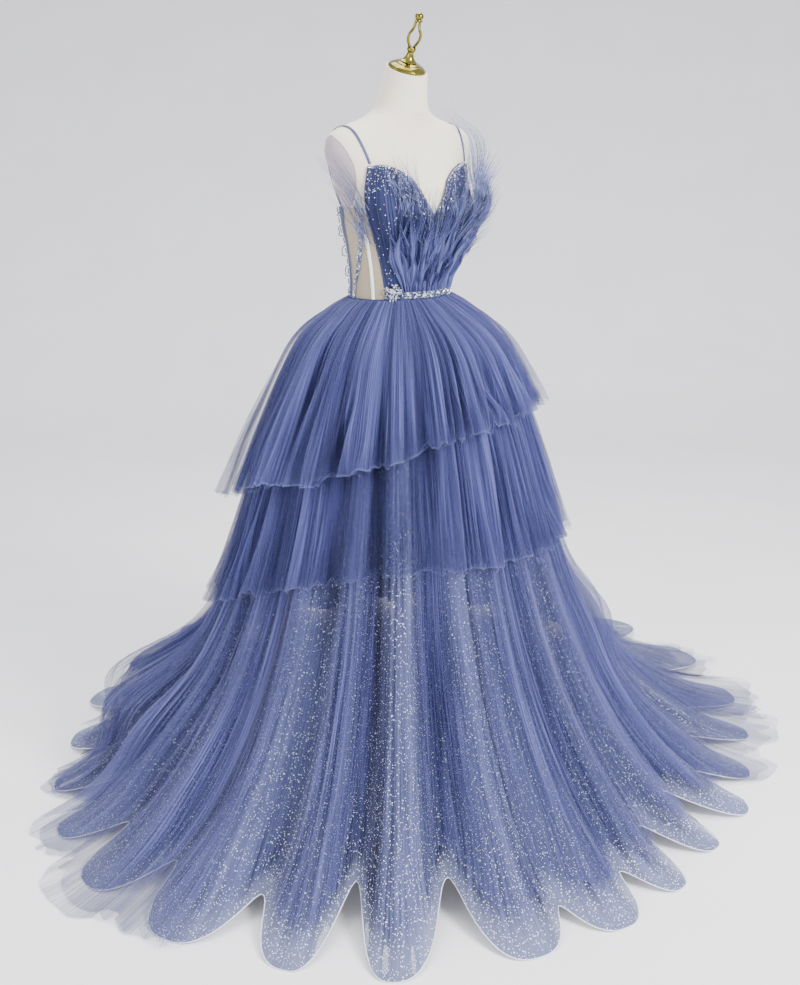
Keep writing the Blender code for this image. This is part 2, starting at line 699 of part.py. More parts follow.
def build_bodice(pleated, sheer, blue, bead, bone):
    inner = BODICE_CLEAR
    outer = BODICE_CLEAR + BODICE_WALL
    raised = outer + 2 * SEAM_GAP

    def edge(column, shift=0.0):
        def at(z):
            angle = read(PANEL_EDGES, z, column)
            return angle + math.copysign(arc(angle, z, abs(shift)), shift)
        return at

    def cup(angle, z):
        return CUP_CLEAR * bust(angle, z) / BUST_OUT

    def pleats(u):
        fade = math.sin(math.pi * min(max(u, 0.02), 0.98)) ** 0.5
        return PLEAT_RIDGE * fade * (1 - math.cos(2 * math.pi * FRONT_PLEATS * u)) / 2

    def flat(off):
        return lambda u, v, angle, z: off

    for name, side in SIDES:
        panel(
            f"bodice_front_{name}", side, (lambda z: arc(0, z) * 0.6, edge(1)), BODICE_LOW,
            lambda u: read(NECKLINE, u), FRONT_ROWS, FRONT_PLEATS * 3,
            lambda u, v, angle, z: inner + cup(angle, z),
            lambda u, v, angle, z: outer + cup(angle, z) + pleats(u), pleated,
        )
        panel(
            f"side_mesh_{name}", side, (edge(1, 2 * SEAM_GAP), edge(2, -PANEL_CLEAR)), BODICE_LOW,
            lambda u: MESH_TOP, SIDE_ROWS, 3,
            lambda u, v, angle, z: inner + cup(angle, z), lambda u, v, angle, z: outer + cup(angle, z), sheer,
        )
        panel(
            f"back_mesh_{name}", side, (edge(2, PANEL_CLEAR), edge(3)), BODICE_LOW, lambda u: MESH_TOP, SIDE_ROWS, 3,
            flat(inner), flat(outer), sheer,
        )
        panel(
            f"back_binding_{name}", side, (edge(3, BINDING_CLEAR), edge(3, BINDING_WIDTH)), BODICE_LOW,
            lambda u: MESH_TOP, SIDE_ROWS, 1, flat(inner - BINDING_UNDER), flat(outer + BINDING_OVER), blue,
        )
        panel(
            f"bead_seam_{name}", side, (edge(2, -BEAD_HALF), edge(2, BEAD_HALF)), BODICE_LOW, lambda u: MESH_TOP,
            SIDE_ROWS, 2, lambda u, v, angle, z: raised + cup(angle, z),
            lambda u, v, angle, z: raised + cup(angle, z) + BEAD_THICK, bead,
        )
        panel(
            f"bone_{name}", side, (edge(4), edge(4, BONE_WIDTH)), BODICE_LOW, lambda u: BONE_TOP,
            SIDE_ROWS - 2, 1, lambda u, v, angle, z: raised + cup(angle, z),
            lambda u, v, angle, z: raised + cup(angle, z) + BONE_THICK, bone,
        )


def strap_path(side):
    """From the top of the cup over the shoulder to the head of the back binding, on the form's surface."""
    front_z, back_z = 1.4075, MESH_TOP + 0.0035
    top_x = STRAP_TOP_X[side]
    top_z = next(z / 1e4 for z in range(14700, 15000) if section(z / 1e4)[0] <= top_x)
    start = abs(body_point(read(PANEL_EDGES, front_z, 1) - 3.0, front_z).x)
    finish_x = abs(body_point(read(PANEL_EDGES, back_z, 3) + 2.0, back_z).x)
    dense = []
    for first_z, first_x, front in ((front_z, start, True), (back_z, finish_x, False)):
        half = []
        for k in range(61):
            rise = smooth(k / 60) if front else math.sin(math.pi / 2 * k / 60)
            z = first_z + (top_z - first_z) * rise
            x = first_x + (top_x - first_x) * rise
            wide, ahead, behind, shift = section(z)
            level = math.sqrt(max(0.0, 1 - (x / wide) ** 2))
            y = (-ahead if front else behind) * level - shift
            half.append(Vector((side * x, y, z)))
        dense += half if front else half[::-1][1:]
    return even_steps(dense, STRAP_STEPS)


def off_form(point):
    """The direction out of the form's surface near a point."""
    def inside(p):
        wide, ahead, behind, shift = section(p.z)
        y = p.y + shift
        return (p.x / wide) ** 2 + (y / (ahead if y < 0 else behind)) ** 2

    step = 0.002
    return Vector(
        tuple(inside(point + axis * step) - inside(point - axis * step) for axis in Matrix.Identity(3))
    ).normalized()


def build_straps(blue):
    for name, side in SIDES:
        line = strap_path(side)
        outward = [off_form(p) for p in line]
        path = [p + n * (STRAP_CLEAR + STRAP_THICK / 2) for p, n in zip(line, outward)]

        def across(k, path=path, outward=outward):
            along = (path[min(k + 1, len(path) - 1)] - path[max(k - 1, 0)]).normalized()
            wide = along.cross(outward[k]).normalized() * STRAP_WIDTH / 2
            thick = outward[k] * STRAP_THICK / 2
            return (wide + thick, -wide + thick, -wide - thick, wide - thick)

        tube(f"strap_{name}", path, across, blue)


def build_lacing(blue):
    """Two cords that cross over the open back between the bindings, each in turn above the other."""
    rest = BODICE_CLEAR + BODICE_WALL + BINDING_OVER + SEAM_GAP + LACE_THICK / 2
    top, low = MESH_TOP - LACE_FROM_TOP, BODICE_LOW + LACE_FROM_WAIST
    steps = 8 * LACE_CROSSINGS
    for name, side in SIDES:
        path = []
        for k in range(steps + 1):
            s = LACE_CROSSINGS * k / steps
            z = top + (low - top) * k / steps
            reach = 180 - read(PANEL_EDGES, z, 3) - LACE_INSET
            angle = 180 + side * reach * math.cos(math.pi * s)
            over = max(0.0, side * math.sin(math.pi * s))
            hollow = LACE_BRIDGE * math.sin(math.pi * k / steps)
            path.append(body_point(turn_into_range(angle), z, rest + hollow + LACE_OVER * over))

        def across(k, path=path):
            along = (path[min(k + 1, len(path) - 1)] - path[max(k - 1, 0)]).normalized()
            out = off_form(path[k])
            wide = along.cross(out).normalized()
            return [
                (wide * math.cos(turn) + out * math.sin(turn)) * LACE_THICK / 2
                for turn in (math.radians(45 + 90 * q) for q in range(4))
            ]

        tube(f"lacing_{name}", path, across, blue)


BELT_OFF = BODICE_CLEAR + BODICE_WALL + PLEAT_RIDGE + 0.0006
BELT_THICK = 0.0022
BELT_LOW = WAIST_Z + TULLE / 2 + 0.0005
BELT_FROM, BELT_TO = -48.0, 46.0
MOTIF_PETALS = 7
MOTIF_ANGLE = -39.0
MOTIF_RADIUS = 0.0185
MOTIF_Z = 1.1425
MOTIF_VALLEY = 0.55         # share of the radius between two petals
MOTIF_FACE = 0.8            # size of the raised face against the back
MOTIF_RIM, MOTIF_CROWN = 0.0022, 0.0045     # how far the face's rim and its middle stand up


def build_belt(bead):
    """The band of stones over the front of the waist, and its large motif at the side front."""
    grids = ([], [])
    columns = 22
    for grid, off in zip(grids, (BELT_OFF, BELT_OFF + BELT_THICK)):
        for z in (BELT_LOW, BELT_LOW + BELT_HEIGHT):
            grid.append(
                [body_point(BELT_FROM + (BELT_TO - BELT_FROM) * k / columns, z, off) for k in range(columns + 1)]
            )
    double_wall("belt_band", grids[0], grids[1], bead)

    centre = body_point(MOTIF_ANGLE, MOTIF_Z, BELT_OFF + BELT_THICK + SEAM_GAP + 0.0001)
    bm = bmesh.new()
    points = 2 * MOTIF_PETALS
    ring = []
    for k in range(points):
        turn = math.pi * k / MOTIF_PETALS
        radius = MOTIF_RADIUS * (1.0 if k % 2 == 0 else MOTIF_VALLEY)
        ring.append((radius * math.cos(turn), radius * math.sin(turn)))
    back = [bm.verts.new((x, 0, z)) for x, z in ring]
    front = [bm.verts.new((x * MOTIF_FACE, -MOTIF_RIM, z * MOTIF_FACE)) for x, z in ring]
    crown = bm.verts.new((0, -MOTIF_CROWN, 0))
    for k in range(points):
        after = (k + 1) % points
        bm.faces.new((back[k], back[after], front[after], front[k]))
        bm.faces.new((front[k], front[after], crown))
    bm.faces.new(back)
    bmesh.ops.recalc_face_normals(bm, faces=bm.faces)
    motif = link("belt_motif", bm, bead, 25)
    lean = off_form(centre)
    motif.location = centre
    motif.rotation_euler = (0, 0, math.atan2(lean.x, -lean.y))


# Tulle fans and feathery sprays on the bodice

FANS = (
    # name, angles at the foot, angles at the head, heights at both ends of the head, its stand-off, pleats
    ("fan_left", (1.0, 40.0), (1.0, 66.0), (1.262, 1.325), 0.038, 5),
    ("fan_right", (-25.0, -1.0), (-31.0, -3.0), (1.272, 1.262), 0.020, 3),
)
FAN_ROWS = 5
FAN_PEAK = 0.016            # how far each pleat's point stands up
FAN_ARCH = 0.030            # how far the middle of the upper edge rises
FAN_LOW = BELT_LOW + BELT_HEIGHT + 0.0004
FAN_OFF = BODICE_CLEAR + BODICE_WALL + PLEAT_RIDGE + 0.0008


def fan_off(v, head, u, pleats):
    wave = (1 - math.cos(2 * math.pi * pleats * u)) / 2
    return FAN_OFF + (head - FAN_OFF) * v ** 1.5 + (0.001 + 0.009 * v) * wave


def build_fans(tulle):
    """Pleated fans of tulle that stand up from the belt, with a pointed upper edge."""
    for name, foot, head, tops, stand, pleats in FANS:
        columns = pleats * 4
        grids = ([], [])
        for i in range(FAN_ROWS + 1):
            v = i / FAN_ROWS
            for grid, extra in zip(grids, (0.0, TULLE)):
                row = []
                for j in range(columns + 1):
                    u = j / columns
                    peak = -FAN_PEAK * math.cos(2 * math.pi * pleats * u) * v ** 3
                    arch = FAN_ARCH * math.sin(math.pi * u) * v
                    top = tops[0] + (tops[1] - tops[0]) * u
                    z = FAN_LOW + (top - FAN_LOW) * v + peak + arch
                    low = foot[0] + (foot[1] - foot[0]) * u
                    high = head[0] + (head[1] - head[0]) * u
                    row.append(body_point(low + (high - low) * v, z, fan_off(v, stand, u, pleats) + extra))
                grid.append(row)
        double_wall(name, grids[0], grids[1], tulle)


SPRAYS = (
    # name, first and last root angle, locks, tip heights and leans at both ends, how far the tips pass the fan
    ("spray_left", 3.0, 39.0, 14, (1.320, 1.490), (2.0, 26.0), (0.004, 0.046)),
    ("spray_right", -25.0, -2.0, 9, (1.400, 1.310), (-10.0, 1.0), (0.002, 0.014)),
)
SPRAY_ROOT_OFF = FAN_OFF + 0.0036
SPRAY_STRIP = 0.0050        # height of the strip that holds the roots
SPRAY_STRIP_THICK = 0.0022
SPRAY_RINGS = 4
LOCK_HALF = 0.0016
LOCK_FLAT = 0.6             # thickness of a lock against its width
LOCK_TIP = 0.0005
LOCK_CLEAR = 0.0090


def build_sprays(tulle):
    """Feathery locks that rise in front of the fans out of a narrow strip on the belt's upper edge."""
    spread = random.Random(7)
    for (name, first, last, locks, tips, leans, passes), fan in zip(SPRAYS, FANS):
        slots = 2 * locks + 1
        step = (last - first) / slots
        low = FAN_LOW + 0.0004
        high = low + SPRAY_STRIP
        bm = bmesh.new()
        grid = {}
        for k in range(slots + 1):
            for level, z in enumerate((low, high)):
                for layer in (0, 1):
                    off = SPRAY_ROOT_OFF + SPRAY_STRIP_THICK * layer
                    grid[k, level, layer] = bm.verts.new(body_point(first + step * k, z, off))
        tops = []
        for k in range(slots):
            bm.faces.new([grid[k, 0, 1], grid[k + 1, 0, 1], grid[k + 1, 1, 1], grid[k, 1, 1]])
            bm.faces.new([grid[k + 1, 0, 0], grid[k, 0, 0], grid[k, 1, 0], grid[k + 1, 1, 0]])
            bm.faces.new([grid[k, 0, 0], grid[k + 1, 0, 0], grid[k + 1, 0, 1], grid[k, 0, 1]])
            tops.append(bm.faces.new([grid[k, 1, 1], grid[k + 1, 1, 1], grid[k + 1, 1, 0], grid[k, 1, 0]]))
        for k in (0, slots):
            bm.faces.new([grid[k, 0, 0], grid[k, 0, 1], grid[k, 1, 1], grid[k, 1, 0]])
        for lock in range(locks):
            k = 2 * lock + 1
            share = lock / (locks - 1)
            tip = tips[0] + (tips[1] - tips[0]) * share ** 0.8 + 0.03 * (spread.random() - 0.5)
            lean = leans[0] + (leans[1] - leans[0]) * share
            beyond = passes[0] + (passes[1] - passes[0]) * spread.random()
            face = tops[k]
            root = first + step * (k + 0.5)
            for ring in range(1, SPRAY_RINGS + 1):
                v = ring / SPRAY_RINGS
                moved = bmesh.ops.extrude_discrete_faces(bm, faces=[face])["faces"]
                face = moved[0]
                z = high + (tip - high) * v
                beside = min((z - FAN_LOW) / (min(fan[3]) - FAN_LOW), 1.0)
                off = fan_off(beside, fan[4], 0.5 / fan[5], fan[5]) + LOCK_CLEAR + beyond * v ** 1.7
                middle = body_point(root + lean * v * v, z, off)
                half = LOCK_HALF + (LOCK_TIP - LOCK_HALF) * v ** 2
                turn = math.radians(root + lean * v * v)
                along = Vector((math.cos(turn), math.sin(turn), 0))
                out = Vector((math.sin(turn), -math.cos(turn), 0)) * LOCK_FLAT
                corners = (-along + out, along + out, along - out, -along - out)
                for vert, corner in zip(face.verts, corners):
                    vert.co = middle + corner * half
        bmesh.ops.recalc_face_normals(bm, faces=bm.faces)
        link(name, bm, tulle)


def main():
    for old in list(bpy.data.objects):
        bpy.data.objects.remove(old)
    cloth = material("form cloth", (0.80, 0.77, 0.70), 0.8)
    gold = material("polished brass", (0.80, 0.68, 0.24), 0.18, 1.0)
    steel = material("painted steel", (0.75, 0.75, 0.75), 0.4)
    tulle = material("blue tulle", (0.13, 0.19, 0.47), 0.75)
    glitter = material("glitter tulle", (0.22, 0.28, 0.52), 0.55)
    pleated = material("pleated tulle", (0.10, 0.15, 0.40), 0.7)
    sheer = material("nude mesh", (0.62, 0.52, 0.40), 0.7)
    blue = material("blue satin", (0.10, 0.14, 0.32), 0.5)
    stones = material("glass stones", (0.62, 0.72, 0.78), 0.15, 0.3)
    clear_bone = material("boning", (0.78, 0.78, 0.78), 0.4)
    braid = material("horsehair braid", (0.60, 0.66, 0.82), 0.5)
    build_form(cloth)
    build_stand(steel)
    build_finial(gold)
    build_skirt(tulle, glitter, braid)
    build_bodice(pleated, sheer, blue, stones, clear_bone)
    build_straps(blue)
    build_lacing(blue)
    build_belt(stones)
    build_fans(tulle)
    build_sprays(tulle)


main()
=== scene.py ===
# %% [markdown]
# # A tiered ballroom gown on a dress form
#
# This lesson dresses a plain CAD model of a ballroom gown. The CAD model is loaded as a fixed frame, and
# each cell adds one part of the gown as a maker would cut it: the form, the skirt's layers of net, the
# bodice, the belt and the trimming. Lengths are in metres, +Z is up, the front of the gown faces -Y, and an
# angle round the body is measured in degrees from the front towards the wearer's left arm (+X).

# %% Load the frame
import math
import random

import bmesh
import bpy
from mathutils import Matrix, Vector


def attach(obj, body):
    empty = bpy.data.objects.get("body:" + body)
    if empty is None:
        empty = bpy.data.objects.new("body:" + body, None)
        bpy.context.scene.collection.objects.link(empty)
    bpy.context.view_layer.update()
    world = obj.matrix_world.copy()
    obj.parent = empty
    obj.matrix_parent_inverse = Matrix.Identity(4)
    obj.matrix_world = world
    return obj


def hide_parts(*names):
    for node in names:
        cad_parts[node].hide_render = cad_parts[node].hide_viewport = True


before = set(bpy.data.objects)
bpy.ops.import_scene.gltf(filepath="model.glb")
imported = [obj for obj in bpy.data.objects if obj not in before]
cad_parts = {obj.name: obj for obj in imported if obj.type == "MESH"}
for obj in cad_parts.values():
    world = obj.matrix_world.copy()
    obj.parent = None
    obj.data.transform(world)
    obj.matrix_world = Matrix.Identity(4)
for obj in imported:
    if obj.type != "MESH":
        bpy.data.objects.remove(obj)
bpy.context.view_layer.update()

# %% [markdown]
# ## The camera and the studio
#
# The photograph was taken from the wearer's right, at chest height and a little from above. The camera is
# put there first, so that every later piece can be judged from it. The floor is a large pale sheet that
# curves up behind, and three soft area lights keep the shadows in the folds soft but readable.

# %% Camera, floor and lights
IMAGE_HEIGHT = 985          # pixels, as are the next length and the shift below
FOCAL_PIXELS = 1282
SENSOR = 36.0
CAMERA_AZIMUTH = math.radians(-38)
CAMERA_DISTANCE, CAMERA_HEIGHT = 2.80, 1.50
CAMERA_PITCH = math.radians(12.5)
GOWN_MIDDLE = 0.8
HORIZON_SHIFT = 90.5        # pixels between the picture's middle and the lens axis


def add_camera():
    away = Vector((-math.sin(CAMERA_AZIMUTH), math.cos(CAMERA_AZIMUTH), 0))
    lens = bpy.data.cameras.new("camera")
    camera = bpy.data.objects.new("camera", lens)
    bpy.context.scene.collection.objects.link(camera)
    camera.location = -away * CAMERA_DISTANCE + Vector((0, 0, CAMERA_HEIGHT))
    view = away * math.cos(CAMERA_PITCH) - Vector((0, 0, 1)) * math.sin(CAMERA_PITCH)
    camera.rotation_euler = view.to_track_quat("-Z", "Y").to_euler()
    lens.sensor_width = SENSOR
    lens.lens = FOCAL_PIXELS * SENSOR / IMAGE_HEIGHT
    lens.shift_y = -HORIZON_SHIFT / IMAGE_HEIGHT
    bpy.context.scene.camera = camera
    return away


def add_light(name, place, size, power):
    """A square softbox that looks at the middle of the gown."""
    lamp = bpy.data.lights.new(name, "AREA")
    lamp.size = size
    lamp.energy = power
    light = bpy.data.objects.new(name, lamp)
    light.location = place
    light.rotation_euler = (Vector((0, 0, GOWN_MIDDLE)) - Vector(place)).to_track_quat("-Z", "Y").to_euler()
    bpy.context.scene.collection.objects.link(light)


away = add_camera()
beside = Vector((away.y, -away.x, 0))       # to the right in the picture
LIGHTS = (
    # name, distance beyond the gown, distance to the right, height, size, power
    ("key", -2.4, 2.6, 3.0, 1.6, 330), ("fill", -2.6, -2.6, 2.0, 2.4, 90), ("top", 0.6, 0.0, 3.6, 2.0, 110),
)
for name, beyond, right, up, size, power in LIGHTS:
    add_light(name, away * beyond + beside * right + Vector((0, 0, up)), size, power)
bpy.context.scene.cycles.transparent_max_bounces = 10
world = bpy.data.worlds.new("studio")
bpy.context.scene.world = world
world.use_nodes = True
world.node_tree.nodes["Background"].inputs["Color"].default_value = (0.87, 0.87, 0.91, 1)
world.node_tree.nodes["Background"].inputs["Strength"].default_value = 1.25


# %% [markdown]
# ## Helpers for finishes
#
# Every finish is a Principled shader with a few texture nodes before it. Small functions do the wiring.
# They turn a hex colour to linear light, add a node with its settings and links, start a finish, and so on.

# %% Helpers for finishes
def linear(code, alpha=1.0):
    """An sRGB hex colour as linear light."""
    parts = [int(code[k:k + 2], 16) / 255 for k in (1, 3, 5)]
    return (*[c / 12.92 if c <= 0.04045 else ((c + 0.055) / 1.055) ** 2.4 for c in parts], alpha)


def add(tree, kind, settings=None, inputs=None, ramp=None):
    """A node with its settings, its inputs (numbers, or other nodes' sockets), and a colour ramp's stops."""
    made = tree.nodes.new(kind)
    for key, value in (settings or {}).items():
        setattr(made, key, value)
    for key, value in (inputs or {}).items():
        if isinstance(value, bpy.types.NodeSocket):
            tree.links.new(value, made.inputs[key])
        else:
            made.inputs[key].default_value = value
    if ramp:
        while len(made.color_ramp.elements) < len(ramp):
            made.color_ramp.elements.new(0.5)
        for stop, (place, colour) in zip(made.color_ramp.elements, ramp):
            stop.position = place
            stop.color = linear(colour) if isinstance(colour, str) else (colour, colour, colour, 1)
    return made


def start_finish(name, roughness, **sockets):
    """A new material, its tree and its shader. The sockets hold what is the same all over the surface."""
    made = bpy.data.materials.new(name)
    made.use_nodes = True
    shader = made.node_tree.nodes["Principled BSDF"]
    shader.inputs["Roughness"].default_value = roughness
    for key, value in sockets.items():
        shader.inputs[key.replace("_", " ")].default_value = value
    return made, made.node_tree, shader


def maths(tree, operation, a, b=0.0, clamp=False):
    return add(tree, "ShaderNodeMath", {"operation": operation, "use_clamp": clamp}, {0: a, 1: b}).outputs[0]


def in_space(tree):
    """The place on the gown, in metres."""
    return add(tree, "ShaderNodeTexCoord").outputs["Object"]


def on_cloth(tree):
    """The place on the flat cloth, in metres."""
    return add(tree, "ShaderNodeUVMap", {"uv_map": "cloth"}).outputs[0]


def noise(tree, place, scale, detail=2.0):
    return add(
        tree, "ShaderNodeTexNoise", inputs={"Vector": place, "Scale": scale, "Detail": detail}
    ).outputs[0]


def rescale(tree, value, new, old=(0.0, 1.0)):
    """A value that runs over the old range, made to run over the new one."""
    inputs = {0: value, 1: old[0], 2: old[1], 3: new[0], 4: new[1]}
    return add(tree, "ShaderNodeMapRange", inputs=inputs).outputs[0]


def ramped(tree, value, *stops):
    """A colour that runs through hex stops as a value rises."""
    return add(tree, "ShaderNodeValToRGB", inputs={0: value}, ramp=stops).outputs[0]


def wire(tree, shader, **sockets):
    for key, value in sockets.items():
        tree.links.new(value, shader.inputs[key.replace("_", " ")])


def emboss(tree, shader, height, strength, distance):
    """A bump no deeper than distance, in metres."""
    inputs = {"Height": height, "Strength": strength, "Distance": distance}
    wire(tree, shader, Normal=add(tree, "ShaderNodeBump", inputs=inputs).outputs[0])


# %% [markdown]
# ## The floor
#
# The floor belongs to the studio, not to the part. It is a grid whose far edge
# is rolled up with a soft curve, so that no horizon line shows behind the gown.

# %% Floor
FLOOR_HALF, CURVE_START, CURVE_LENGTH, CURVE_RISE = 9.0, 3.2, 2.6, 4.2


def add_floor():
    bm = bmesh.new()
    bmesh.ops.create_grid(bm, x_segments=60, y_segments=60, size=FLOOR_HALF)
    for vert in bm.verts:
        depth = vert.co.xy.dot(away.xy)
        if depth > CURVE_START:
            past = (depth - CURVE_START) / CURVE_LENGTH
            vert.co.z = CURVE_RISE * past ** 2 / (1 + past)
    mesh = bpy.data.meshes.new("studio_floor")
    bm.to_mesh(mesh)
    bm.free()
    mesh.shade_smooth()
    floor = bpy.data.objects.new("studio_floor", mesh)
    bpy.context.scene.collection.objects.link(floor)
    paint, tree, shader = start_finish("pale studio paper", 0.9)
    place = in_space(tree)
    grain = noise(tree, place, 3.0)
    tint = ramped(tree, grain, (0.3, "#efeff2"), (0.7, "#f3f3f6"))
    wire(tree, shader, Base_Color=tint)
    mesh.materials.append(paint)


add_floor()


# %% [markdown]
# ## Where the body and the skirt are
#
# The form and the folds of the skirt follow short tables, row by row, as a pattern cutter notes them down. A
# smooth curve through the rows gives every place in between. The same tables made the CAD solids, so pieces
# that are built on them sit where the solids are.

# %% The form's sections
WAIST_Z = 1.122
FORM_SECTIONS = (
    # height, half width, depth to the front, depth to the back, forward shift, forward tilt in degrees
    (0.865, 0.146, 0.094, 0.106, 0.000, 0), (0.885, 0.166, 0.112, 0.126, 0.000, 0),
    (0.950, 0.172, 0.117, 0.132, 0.000, 0), (1.020, 0.150, 0.106, 0.112, 0.000, 0),
    (1.080, 0.125, 0.093, 0.088, 0.000, 0), (1.125, 0.116, 0.087, 0.082, 0.000, 0),
    (1.180, 0.119, 0.091, 0.075, 0.000, 0), (1.230, 0.127, 0.097, 0.075, 0.000, 0),
    (1.270, 0.136, 0.102, 0.087, 0.000, 0), (1.310, 0.143, 0.106, 0.096, 0.000, 0),
    (1.350, 0.153, 0.104, 0.102, 0.000, 0), (1.400, 0.173, 0.092, 0.104, 0.000, 0),
    (1.435, 0.185, 0.078, 0.098, 0.000, 0), (1.455, 0.184, 0.068, 0.086, 0.000, 0),
    (1.470, 0.173, 0.060, 0.074, 0.000, 0), (1.482, 0.149, 0.055, 0.065, 0.001, 1),
    (1.492, 0.116, 0.052, 0.060, 0.002, 2), (1.503, 0.085, 0.052, 0.057, 0.003, 4),
    (1.520, 0.062, 0.053, 0.053, 0.005, 7), (1.545, 0.054, 0.049, 0.049, 0.010, 12),
    (1.575, 0.048, 0.046, 0.046, 0.017, 18), (1.600, 0.044, 0.043, 0.043, 0.023, 22),
)
BUST_ANGLE, BUST_HEIGHT, BUST_OUT, BUST_SPREAD, BUST_TALL = 36.0, 1.312, 0.026, 25.0, 0.052


def smooth(t):
    """A share from 0 to 1 with a level start and end."""
    t = min(max(t, 0.0), 1.0)
    return t * t * (3 - 2 * t)


def mix(a, b, t):
    return a + (b - a) * t


def read(table, at, column=1):
    """A value from a table whose first column rises, on a smooth curve through its rows."""
    if at <= table[0][0]:
        return table[0][column]
    if at >= table[-1][0]:
        return table[-1][column]
    i = next(k for k in range(len(table) - 1) if at <= table[k + 1][0])
    width = table[i + 1][0] - table[i][0]
    rise = (table[i + 1][column] - table[i][column]) / width

    def slope(j):
        if j <= 0 or j >= len(table) - 1:
            return rise
        before = (table[j][column] - table[j - 1][column]) / (table[j][0] - table[j - 1][0])
        after = (table[j + 1][column] - table[j][column]) / (table[j + 1][0] - table[j][0])
        return 0.0 if before * after <= 0 else 2 * before * after / (before + after)

    t = (at - table[i][0]) / width
    return (
        table[i][column] * (1 + 2 * t) * (1 - t) ** 2
        + table[i + 1][column] * t * t * (3 - 2 * t)
        + slope(i) * width * t * (1 - t) ** 2
        - slope(i + 1) * width * t * t * (1 - t)
    )


def section(z):
    """Half width, front depth, back depth and forward shift of the form at a height."""
    return tuple(read(FORM_SECTIONS, z, column) for column in (1, 2, 3, 4))


def bust(angle, z):
    """How far the cups stand out of the plain section."""
    tall = math.exp(-(((z - BUST_HEIGHT) / BUST_TALL) ** 2))
    return BUST_OUT * tall * sum(math.exp(-(((angle - s * BUST_ANGLE) / BUST_SPREAD) ** 2)) for s in (-1, 1))


def body_point(angle, z, off=0.0):
    """A point of the form's surface, moved outwards by off."""
    side, front, back, shift = section(z)
    turn = math.radians(angle)
    s, c = math.sin(turn), math.cos(turn)
    depth = front if c > 0 else back
    outward = Vector((s / side, -c / depth, 0)).normalized()
    return Vector((side * s, -depth * c - shift, z)) + outward * (bust(angle, z) + off)


print("waist", round(2 * section(WAIST_Z)[0], 3), "m wide")

# %% The skirt's folds
FOLDS = (
    # direction of the crest, then depth share and hem lift of the trough after it
    (-166, 0.9, 0.045), (-151, 1.0, 0.055), (-136, 0.7, 0.040), (-120, 1.1, 0.060), (-105, 0.7, 0.040),
    (-90, 0.8, 0.045), (-71, 0.9, 0.040), (-53, 1.2, 0.065), (-39, 1.25, 0.065), (-19, 0.5, 0.025),
    (-4, 0.6, 0.030), (10, 0.8, 0.045), (23, 1.0, 0.060), (36, 0.9, 0.045), (48, 0.8, 0.050),
    (61, 0.8, 0.040), (74, 1.0, 0.055), (89, 0.9, 0.045), (104, 1.1, 0.055), (120, 0.8, 0.050),
    (135, 1.0, 0.060), (150, 1.1, 0.050), (164, 0.9, 0.050), (179, 1.0, 0.055),
)
FOLD_PINCH = 1.35
FOLD_DEPTH = (
    (0.000, 0.082), (0.050, 0.076), (0.150, 0.062), (0.300, 0.045), (0.500, 0.032),
    (0.700, 0.024), (0.900, 0.017), (1.050, 0.009), (1.110, 0.003), (1.122, 0.0010),
)
SKIRT_OUTLINE = (
    (0.000, 0.780), (0.040, 0.705), (0.100, 0.632), (0.200, 0.538), (0.300, 0.470), (0.400, 0.418),
    (0.500, 0.376), (0.600, 0.342), (0.700, 0.312), (0.800, 0.284), (0.900, 0.252), (1.000, 0.215),
    (1.050, 0.188), (1.080, 0.165), (1.100, 0.147), (1.116, 0.1225), (1.122, 0.116),
)
HEM_RADIUS = (
    (-180, 1.06), (-160, 0.92), (-140, 0.83), (-120, 0.80), (-100, 0.81), (-70, 0.80), (-40, 0.79),
    (-10, 0.78),
    (20, 0.76), (40, 0.80), (60, 0.87), (80, 1.00), (100, 1.08), (125, 1.14), (150, 1.16), (180, 1.06),
)
ROUND_BELOW, TRAIN_BELOW = 0.98, 0.46
WAIST_OFF = 0.0030          # from the form to the middle of the innermost layer
FOLD_COUNT = len(FOLDS)


def fold_angle(count):
    """Direction of a place round the skirt, counted in folds from the first crest."""
    whole = math.floor(count)
    here = FOLDS[whole % FOLD_COUNT][0] + 360 * (whole // FOLD_COUNT)
    after = FOLDS[(whole + 1) % FOLD_COUNT][0] + 360 * ((whole + 1) // FOLD_COUNT)
    return here + (after - here) * (count - whole)


def into_range(angle):
    return (angle + 180) % 360 - 180


def trough(count, column):
    """Depth share (column 1) or hem lift (column 2) at a place: nothing at a crest, most in a trough."""
    share = count - math.floor(count)
    return FOLDS[math.floor(count) % FOLD_COUNT][column] * (
        (1 - math.cos(2 * math.pi * share)) / 2
    ) ** FOLD_PINCH


LEVELS = 600                # heights at which the outline tables are read once
outline_by_level = [
    (read(SKIRT_OUTLINE, WAIST_Z * k / LEVELS),
     read(FOLD_DEPTH, WAIST_Z * k / LEVELS)) for k in range(LEVELS + 1)
]
ways_round = {}


def way_round(count):
    """What the skirt's radius needs to know about a direction, worked out once."""
    key = round(count, 5)
    if key not in ways_round:
        angle = into_range(fold_angle(count))
        turn = math.radians(angle)
        s, c = math.sin(turn), math.cos(turn)
        side, front, back, _ = section(WAIST_Z)
        waist = 1 / math.sqrt((s / side) ** 2 + (c / (front if c > 0 else back)) ** 2)
        ways_round[key] = (s, c, waist, read(HEM_RADIUS, angle), trough(count, 1), side)
    return ways_round[key]


